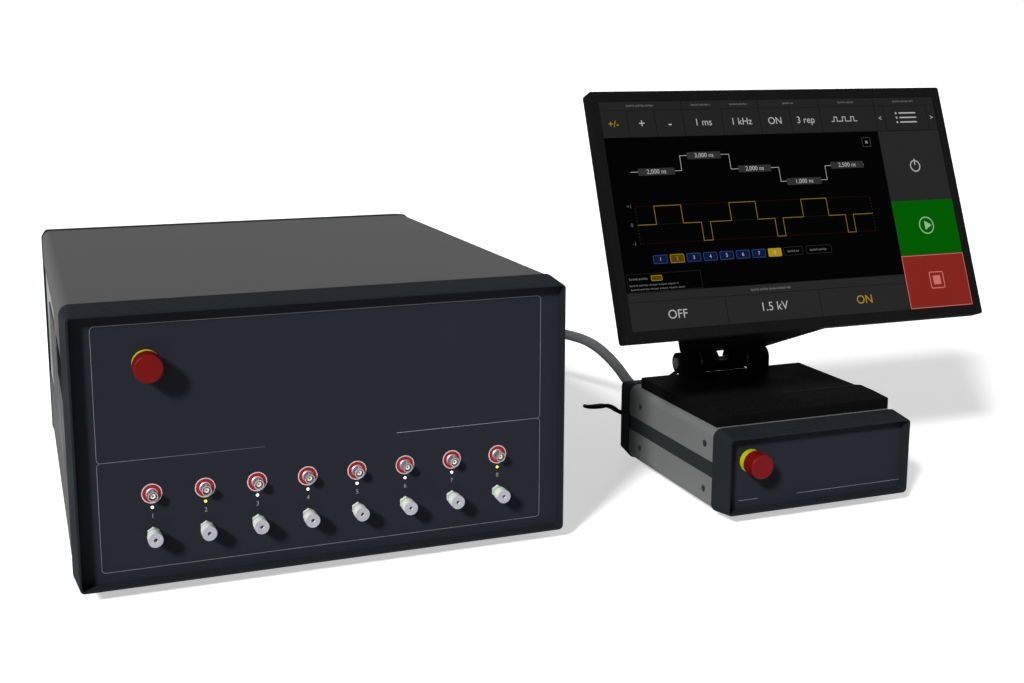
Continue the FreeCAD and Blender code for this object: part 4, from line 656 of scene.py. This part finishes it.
# A thin curved lip that closes the slit under the moving knuckles
def hinge_lip():
    clear_choice()
    bpy.ops.mesh.primitive_plane_add(size=1, location=(0, 0, -(LIP_INNER + LIP_OUTER) / 2),
                                     rotation=(math.radians(90), 0, 0))
    lip = name_piece("hinge_lip")
    lip.scale = (LIP_WIDTH, LIP_OUTER - LIP_INNER, 1)
    bpy.ops.object.transform_apply(location=True, rotation=True, scale=True)
    bpy.ops.object.mode_set(mode="EDIT")
    bpy.ops.mesh.select_all(action="SELECT")
    bpy.ops.mesh.spin(steps=20, angle=math.radians(LIP_ARC), center=(0, 0, 0), axis=(1, 0, 0))
    face_outwards()
    set_in(lip, Matrix.Translation(HINGE_AXIS)
           @ Matrix.Rotation(math.radians(LIP_START), 4, "X"))
    smooth(lip, 30)
    finish_piece(lip, "cases", "stand_plastic", FINISHES["stand_plastic"])


# Prints on the front panels: a line's width, the ink's thickness, and the frames' corners
LINE = 0.0004
SKIN = 0.00006
FRAME_CORNER = 0.004
CORNER_STEPS = 6
PRINT = FINISHES["panel_print"]


# Points of a round corner that sweeps back a quarter turn from its first heading
def corner_points(x, y, first):
    points = []
    for step in range(CORNER_STEPS + 1):
        turn = math.pi / 2 * (first - step / CORNER_STEPS)
        points.append((x + FRAME_CORNER * math.cos(turn), y + FRAME_CORNER * math.sin(turn)))
    return points


# A printed line along a path on a panel
def print_path(name, points, plane):
    clear_choice()
    curve = bpy.data.curves.new(name, "CURVE")
    curve.dimensions = "3D"
    curve.extrude = SKIN / 2
    path = curve.splines.new("POLY")
    path.points.add(len(points) - 1)
    for point, (x, y) in zip(path.points, points):
        point.co = (x, y, SKIN / 2, 1)
    line = bpy.data.objects.new(name, curve)
    bpy.context.scene.collection.objects.link(line)
    choose(line)
    bpy.ops.object.convert(target="MESH")
    line = bpy.context.object
    line.data.name = name
    wall = line.modifiers.new("width", "SOLIDIFY")
    wall.thickness = LINE
    wall.offset = 0
    bpy.ops.object.modifier_apply(modifier=wall.name)
    set_in(line, plane)
    finish_piece(line, "cases", "ring_print", PRINT)


# Two rounded boxes that share the divider, which is open in its middle
def print_generator_panel():
    left, right = FIRST_CHANNEL - 0.04875, FIRST_CHANNEL + 0.3975
    bottom, top = RING_HEIGHT - 0.0734, RING_HEIGHT + 0.1645
    divider = RING_HEIGHT + 0.0343
    gap_left, gap_right = -0.3299, -0.1965
    near, far = left + FRAME_CORNER, right - FRAME_CORNER
    low, high = bottom + FRAME_CORNER, top - FRAME_CORNER
    over, under = divider + FRAME_CORNER, divider - FRAME_CORNER
    upper = [(gap_left, divider), *corner_points(near, over, 3), *corner_points(near, high, 2),
             *corner_points(far, high, 1), *corner_points(far, over, 4), (gap_right, divider)]
    lower = [*reversed(corner_points(near, under, 2)), *reversed(corner_points(near, low, 3)),
             *reversed(corner_points(far, low, 4)), *reversed(corner_points(far, under, 1))]
    print_path("generator_upper_frame", upper, upright(GENERATOR_PANEL))
    print_path("generator_lower_frame", lower, upright(GENERATOR_PANEL))
    number_place, number_height, number_skin = RING_HEIGHT - 0.0224, 0.0044, 0.00008
    for channel in range(CHANNELS):
        middle = (FIRST_CHANNEL + channel * CHANNEL_PITCH, number_place)
        number = print_text(f"channel_number_{channel + 1}", str(channel + 1), middle,
                            number_height, upright(GENERATOR_PANEL), PRINT, number_skin)
        finish_piece(number, "cases", "ring_print")


# A line near the control panel's foot, open near its left end
def print_control_panel():
    foot = 0.0246
    lines = start_drawing("control_panel_line", 0.1842, foot, 0.2085, foot + LINE)
    add_tile(0.2592, foot, 0.3985, foot + LINE)
    clear_choice()
    thicken(lines, SKIN)
    set_in(lines, upright(CONTROL_PANEL))
    finish_piece(lines, "cases", "ring_print", PRINT)


# The screen: how far it leans back, and the middle of its glass from the hinge's pin
SCREEN_LEAN = math.radians(21.54)
GLASS_MIDDLE = (0, -0.20872, 0.1425)
SCREEN_PLANE = (Matrix.Translation(HINGE_AXIS)
                @ Matrix.Rotation(-SCREEN_LEAN, 4, "X")
                @ Matrix.Translation(GLASS_MIDDLE)
                @ Matrix.Rotation(math.radians(90), 4, "X"))
SCREEN_COLOURS = {
    "screen_grey": (37, 37, 37), "screen_black": (1, 1, 1), "screen_line": (12, 12, 12),
    "screen_rule": (66, 66, 66), "screen_caption": (104, 104, 104),
    "screen_word": (186, 186, 186), "screen_yellow": (178, 148, 16),
    "screen_white": (206, 206, 206), "screen_green": (0, 96, 0), "screen_red": (140, 40, 32),
    "screen_rose": (214, 120, 112), "screen_tag": (50, 50, 50), "screen_navy": (12, 25, 62),
    "screen_blue": (46, 74, 138), "screen_amber": (86, 66, 10), "screen_dim_red": (70, 14, 10),
    "screen_dim_green": (10, 56, 12), "screen_button": (41, 41, 41),
    "screen_mint": (150, 196, 150),
}
SCREEN = {name: lit_dots(name, colour) for name, colour in SCREEN_COLOURS.items()}
SCREEN_INKS = list(SCREEN)


# The picture is drawn in millimetres from the middle of the glass, and lifts count layers of ink
def ink(name):
    bpy.context.object.active_material_index = SCREEN_INKS.index(name)
    bpy.ops.object.material_slot_assign()


def screen_tile(name, left, bottom, right, top, lift=1, corner=0.0):
    add_tile(left / 1000, bottom / 1000, right / 1000, top / 1000, lift * SKIN, corner / 1000)
    ink(name)


def screen_outline(name, left, bottom, right, top, width, lift=2, corner=0.0):
    screen_tile(name, left, bottom, right, top, lift, corner)
    hollow(width / 1000)


# A trace of level and upright strokes between points
def screen_trace(name, points, width=0.45):
    half = width / 2
    for (x0, y0), (x1, y1) in zip(points, points[1:]):
        screen_tile(name, min(x0, x1) - half, min(y0, y1) - half,
                    max(x0, x1) + half, max(y0, y1) + half, 3)


def screen_dashes(name, left, right, height):
    dash = 1.6
    while left < right:
        screen_tile(name, left, height - 0.25, min(left + dash, right), height + 0.25, 2)
        left += 2 * dash


# Small strokes that read as a line of fine writing: their widths, feet and tops, in turn
STROKE_WIDTHS = (0.9, 1.5, 1.2, 0.7, 1.4)
STROKE_FEET = (0, 0, 0.3, 0, 0.5)
STROKE_TOPS = (1, 0.7, 0.75, 1, 0.7)
STROKE_GAP = 0.6
WORD_GAP = 1.6
WORD_STROKES = 6


def screen_marks(name, left, right, bottom, height):
    stroke = 0
    while left < right - STROKE_GAP:
        turn = stroke % len(STROKE_WIDTHS)
        width = STROKE_WIDTHS[turn]
        screen_tile(name, left, bottom + STROKE_FEET[turn], min(left + width, right),
                    bottom + height * STROKE_TOPS[turn], 2)
        stroke += 1
        left += width + (STROKE_GAP if stroke % WORD_STROKES else WORD_GAP)


# A ring, and a wedge that points right, for the signs of the buttons
def screen_ring(name, x, y, outer, inner):
    middle = (x / 1000, y / 1000, 4 * SKIN)
    bpy.ops.mesh.select_all(action="DESELECT")
    bpy.ops.mesh.primitive_circle_add(vertices=32, radius=outer / 1000, fill_type="NGON",
                                      location=middle)
    ink(name)
    hollow((outer - inner) / 1000)


def screen_wedge(name, x, y, radius):
    middle = (x / 1000, y / 1000, 4 * SKIN)
    bpy.ops.mesh.select_all(action="DESELECT")
    bpy.ops.mesh.primitive_circle_add(vertices=3, radius=radius / 1000, fill_type="NGON",
                                      location=middle)
    bpy.ops.transform.rotate(value=math.radians(90), orient_axis="Z", center_override=middle)
    bpy.ops.mesh.bevel(offset=0.0006, segments=3, affect="VERTICES")
    ink(name)


# The bar along the top: its rule, the edges of its buttons and their captions
def draw_header():
    for left, right in ((-221, -121.2), (-120.2, 134.1), (135.1, 221)):
        screen_tile("screen_line", left, 116.9, right, 117.4, 2)
    for side, top in ((-189.6, 117), (-155.5, 117), (-120.7, 126.5), (-71.2, 117), (-22.6, 126.5),
                      (18.5, 117), (58.9, 126.5), (134.6, 126.5), (147.6, 117), (208.6, 117)):
        screen_tile("screen_line", side - 0.3, 86.4, side + 0.3, top, 2.5)
    screen_tile("screen_line", -221, 85.7, 221, 86.4, 2.5)
    for left, right in ((-188.5, -155.1), (-108.3, -83.4), (-58.9, -35.2), (10.5, 25.9),
                        (86, 107.2), (162.8, 192.6)):
        screen_marks("screen_caption", left, right, 121.3, 2.4)


# The column at the plot's right: the power, start and stop fields
def draw_side_fields():
    screen_tile("screen_button", 135.2, 0.9, 220.5, 85.4, 2, 1)
    screen_tile("screen_green", 134.4, -64.6, 220.9, 0.3, 2)
    screen_tile("screen_rose", 134.1, -127.3, 221, -65.1, 2)
    screen_tile("screen_red", 134.9, -126.5, 220.2, -65.9, 3)


# The plot: the heights of its dotted levels, its ends, and the lines and tags on it
HIGH_LEVEL, ZERO_LEVEL, LOW_LEVEL = 8.3, -12.3, -33
PLOT_LEFT, PLOT_RIGHT = -196, 105.5
WHITE_STEPS = ((-195, 46.9), (-132.6, 46.9), (-132.6, 63.9), (-70.5, 63.9), (-70.5, 46.6),
               (-8.8, 46.6), (-8.8, 30), (52.8, 30), (52.8, 46.4), (106, 46.4))
STEP_TAGS = ((-186.4, 42.6, -141.3, 50.6), (-123.3, 59.4, -80.9, 67.6), (-61.3, 42.3, -19.1, 50.3),
             (-1.2, 25.3, 44.8, 33.4), (60.6, 42.6, 105.5, 50.7))
YELLOW_PULSES = (
    (-196, -12.3), (-173.7, -12.3), (-173.7, 8.2), (-140.9, 8.2), (-140.9, -12.3),
    (-118.7, -12.3), (-118.7, -33), (-107.4, -33), (-107.4, -12.3), (-80.6, -12.3),
    (-80.6, 8.2), (-47.1, 8.2), (-47.1, -12.3), (-25.2, -12.3), (-25.2, -33), (-14.6, -33),
    (-14.6, -12.3), (12.6, -12.3), (12.6, 8.3), (46.4, 8.3), (46.4, -12.3), (68.4, -12.3),
    (68.4, -33), (79.1, -33), (79.1, -12.4), (105.8, -12.4))


# White steps with their tags, yellow pulses, dotted levels and scales, and a small box above
def draw_plot():
    screen_trace("screen_white", WHITE_STEPS)
    for tag in STEP_TAGS:
        screen_tile("screen_tag", *tag, 4, 1)
    for height in (HIGH_LEVEL, LOW_LEVEL):
        screen_dashes("screen_dim_red", PLOT_LEFT, PLOT_RIGHT, height)
    screen_dashes("screen_dim_green", PLOT_LEFT, PLOT_RIGHT, ZERO_LEVEL)
    screen_trace("screen_yellow", YELLOW_PULSES)
    for side in (-196.2, 105.9):
        for step in range(12):
            bottom = LOW_LEVEL + 3.5 * step
            screen_tile("screen_rule", side - 0.15, bottom, side + 0.15, bottom + 1.4, 2)
    screen_outline("screen_rule", 109.5, 67.6, 121.3, 79, 0.6, corner=1)


# Chips under the plot: where the first is, how far apart, how wide, and their numbers' height
CHIP_LEFT = -184
CHIP_PITCH = 20.4
CHIP_WIDTH = 17.2
CHIP_MIDDLE = -51.1


# Numbered chips, two of them yellow, then two boxes of fine writing
def draw_chips():
    for number in range(CHANNELS):
        left = CHIP_LEFT + number * CHIP_PITCH
        yellow = number in (1, 7)
        fill = "screen_yellow" if number == 7 else "screen_amber" if yellow else "screen_navy"
        screen_tile("screen_yellow" if yellow else "screen_blue", left, -55.8, left + CHIP_WIDTH,
                    -46.3, 2, 1.5)
        screen_tile(fill, left + 0.6, -55.2, left + 16.6, -46.9, 3, 1)
    for left, right in ((-21, 3.8), (8.3, 41.9)):
        screen_outline("screen_tag", left, -55.4, right, -45.9, 0.4, corner=1.5)
        screen_marks("screen_caption", left + 5, right - 5, -51.9, 2.4)


# A box of fine writing at the bottom left
def draw_note_box():
    screen_outline("screen_button", -219, -85.3, -129.6, -65.5, 0.4)
    screen_marks("screen_caption", -216.2, -192.8, -72.2, 2.4)
    screen_tile("screen_yellow", -190.1, -74, -176.9, -68, 2, 1)
    screen_tile("screen_amber", -189.5, -73.4, -177.5, -68.6, 3, 0.8)
    screen_marks("screen_caption", -216.6, -157.6, -79, 1.9)
    screen_marks("screen_caption", -215.8, -151, -83.4, 1.9)


# The bar along the bottom with its three fields
def draw_bottom_bar():
    screen_tile("screen_button", -221, -127.3, 134, -86.6, 1.5)
    screen_tile("screen_line", -221, -96.6, 134, -96, 2)
    for side in (-104.5, 14.9):
        screen_tile("screen_line", side - 0.3, -127.3, side + 0.3, -96.6, 2)
    screen_marks("screen_caption", -70.9, -19.3, -92.8, 3)


# Signs on the buttons: pulses, list, power, start and stop
def draw_signs():
    low, high = 99.4, 104.6
    for left in (73.4, 85, 96.6):
        screen_trace("screen_word", ((left, low), (left + 3.4, low), (left + 3.4, high),
                                     (left + 7.4, high), (left + 7.4, low),
                                     (left + 11.6, low)), 0.9)
    for bottom in (106.8, 101.2, 95.6):
        screen_tile("screen_word", 163.4, bottom, 165.6, bottom + 2.2, 2, 0.6)
        screen_tile("screen_word", 168.6, bottom + 0.3, 192.6, bottom + 1.9, 2, 0.5)
    screen_ring("screen_word", 177.6, 42.3, 7.2, 5.9)
    screen_tile("screen_button", 175.4, 46.5, 179.8, 50, 4)
    screen_tile("screen_word", 176.9, 43.4, 178.3, 51, 5, 0.5)
    screen_ring("screen_mint", 177.4, -30, 10.4, 9.1)
    screen_wedge("screen_mint", 178.2, -30, 6.4)
    screen_outline("screen_rose", 167.4, -105.4, 187.4, -85.4, 1.2, 4, corner=2)
    screen_tile("screen_rose", 172.2, -100.6, 182.6, -90.2, 4, 0.6)


def draw_screen():
    picture = start_drawing("screen_picture", -0.221, -0.1273, 0.221, 0.1273)
    for name in SCREEN_INKS:
        picture.data.materials.append(SCREEN[name])
    ink("screen_grey")
    screen_tile("screen_black", -221, -86, 134, 86)
    draw_header()
    draw_side_fields()
    draw_plot()
    draw_chips()
    draw_note_box()
    draw_bottom_bar()
    draw_signs()
    clear_choice()
    thicken(picture, SKIN / 2)
    set_in(picture, SCREEN_PLANE)
    finish_piece(picture, "display", "screen_glass")


# Numbers, switch words and signs on the screen: name, words, middle, height, colour
SCREEN_WORDS = [
    ("both", "+/-", (-207, 101.6), 7.6, "screen_yellow"),
    ("plus", "+", (-172.6, 101.4), 10, "screen_word"),
    ("minus", "-", (-138, 101.2), 11, "screen_word"),
    ("one_a", "1 ms", (-96, 101.6), 8, "screen_word"),
    ("one_b", "1 kHz", (-47, 101.6), 8, "screen_word"),
    ("on_a", "ON", (-3, 101.4), 8.2, "screen_word"),
    ("three", "3 rep", (38, 101.6), 8, "screen_word"),
    ("less", "<", (140.9, 101.6), 6, "screen_word"),
    ("more", ">", (214.6, 101.4), 6, "screen_word"),
    ("tag_1", "2,000 ns", (-163.9, 46.6), 5, "screen_word"),
    ("tag_2", "3,000 ns", (-102.1, 63.5), 5, "screen_word"),
    ("tag_3", "2,000 ns", (-40.2, 46.3), 5, "screen_word"),
    ("tag_4", "1,000 ns", (21.8, 29.3), 5, "screen_word"),
    ("tag_5", "2,500 ns", (83, 46.6), 5, "screen_word"),
    ("level_up", "+1", (-203.2, 8.6), 4, "screen_caption"),
    ("level_zero", "0", (-203.2, -12.2), 4, "screen_caption"),
    ("level_down", "-1", (-203.2, -32.8), 4, "screen_caption"),
    ("cross", "x", (115.4, 73.6), 5, "screen_word"),
    ("off", "OFF", (-164.8, -112), 9.6, "screen_word"),
    ("set", "1.5 kV", (-45, -111.5), 9.6, "screen_word"),
    ("on_b", "ON", (73.6, -112), 9.6, "screen_yellow"),
]


# Writes one word on the screen, its place and height in millimetres, over some layers of ink
def write_word(name, words, x, y, height, layers, colour):
    plane = SCREEN_PLANE @ Matrix.Translation((0, 0, layers * SKIN))
    word = print_text("screen_" + name, words, (x / 1000, y / 1000), height / 1000, plane,
                      SCREEN[colour], SKIN / 2)
    finish_piece(word, "display", "screen_glass")


def write_screen():
    for name, words, (x, y), height, colour in SCREEN_WORDS:
        write_word(name, words, x, y, height, 5, colour)
    for number in range(CHANNELS):
        colour = "screen_yellow" if number == 1 else "screen_word"
        middle = CHIP_LEFT + CHIP_WIDTH / 2 + number * CHIP_PITCH
        write_word(f"chip_{number + 1}", str(number + 1), middle, CHIP_MIDDLE, 4, 4, colour)


# Room: a pale floor, an even sky and two lamps
FLOOR_WIDTH = 40
FLOOR_GLOW = 0.5
SKY_LIGHT = 0.14
SKY_SEEN = 1

# Lamps: name, strength, spread and heading, then whether gloss shows it. The first is soft light
# from the front left and above, the second a weak fill from behind.
LAMPS = (
    ("soft_key", 4.25, 9, (1.1, 1, -0.95), True),
    ("back_fill", 0.8, 30, (-0.6, -1, -0.25), False),
)


def lay_floor():
    bpy.ops.mesh.primitive_plane_add(size=FLOOR_WIDTH, location=(0, 0, 0))
    floor = bpy.context.object
    floor.name = "floor"
    material, tree, shader = start_finish("pale_floor")
    surface = add_effect(tree, GRAIN, Grain=300, Patches=2)
    tree.links.new(add_blend(tree, surface["Patch"], card(236, 236, 236), card(240, 240, 240)),
                   shader.inputs["Base Color"])
    shader.inputs["Roughness"].default_value = 0.9
    shader.inputs["Specular IOR Level"].default_value = 0.1
    shader.inputs["Emission Color"].default_value = (1, 1, 1, 1)
    rays = tree.nodes.new("ShaderNodeLightPath").outputs
    seen = add_math(tree, "MAXIMUM", rays["Is Camera Ray"], rays["Is Glossy Ray"])
    tree.links.new(add_math(tree, "MULTIPLY", seen, FLOOR_GLOW), shader.inputs["Emission Strength"])
    floor.data.materials.append(material)


def hang_sky():
    world = bpy.data.worlds.new("studio")
    bpy.context.scene.world = world
    world.use_nodes = True
    tree = world.node_tree
    rays = tree.nodes.new("ShaderNodeLightPath").outputs
    seen = add_math(tree, "MAXIMUM", rays["Is Camera Ray"], rays["Is Transmission Ray"])
    seen = add_math(tree, "MAXIMUM", seen, rays["Is Glossy Ray"])
    sky = tree.nodes["Background"].inputs
    sky["Color"].default_value = (1, 1, 1, 1)
    tree.links.new(add_range(tree, seen, 0, 1, SKY_LIGHT, SKY_SEEN), sky["Strength"])


def place_lamps():
    for name, strength, spread, heading, in_gloss in LAMPS:
        lamp = bpy.data.lights.new(name, "SUN")
        lamp.energy = strength
        lamp.angle = math.radians(spread)
        light = bpy.data.objects.new(name, lamp)
        light.rotation_euler = Vector(heading).to_track_quat("-Z", "Y").to_euler()
        light.visible_glossy = in_gloss
        bpy.context.scene.collection.objects.link(light)


bpy.context.scene.view_settings.view_transform = "Standard"
place_camera()
link = lay_cord("link_cable_jacket", LINK_CABLE, LINK_RADIUS, FINISHES["cable_jacket"])
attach(link, "cases")
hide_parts("link_cable")
lead = lay_cord("display_lead_jacket", DISPLAY_LEAD, LEAD_RADIUS, FINISHES["lead_jacket"])
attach(lead, "cases")
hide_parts("display_lead")

for name, place, tail, sizes, slot in (
        ("link_boot_generator", LINK_CABLE[-1], LINK_CABLE[-2], LINK_BOOT, "gland_plastic"),
        ("link_boot_control", LINK_CABLE[0], LINK_CABLE[1], LINK_BOOT, "gland_plastic"),
        ("lead_boot_plug", DISPLAY_LEAD[-1], DISPLAY_LEAD[-2], LEAD_BOOT, "plug_plastic"),
        ("lead_boot_display", DISPLAY_LEAD[0], DISPLAY_LEAD[1], LEAD_BOOT, "plug_plastic")):
    cord_boot(name, place, tail, *sizes, slot)
hinge_lip()
print_generator_panel()
print_control_panel()
draw_screen()
write_screen()
lay_floor()
hang_sky()
place_lamps()
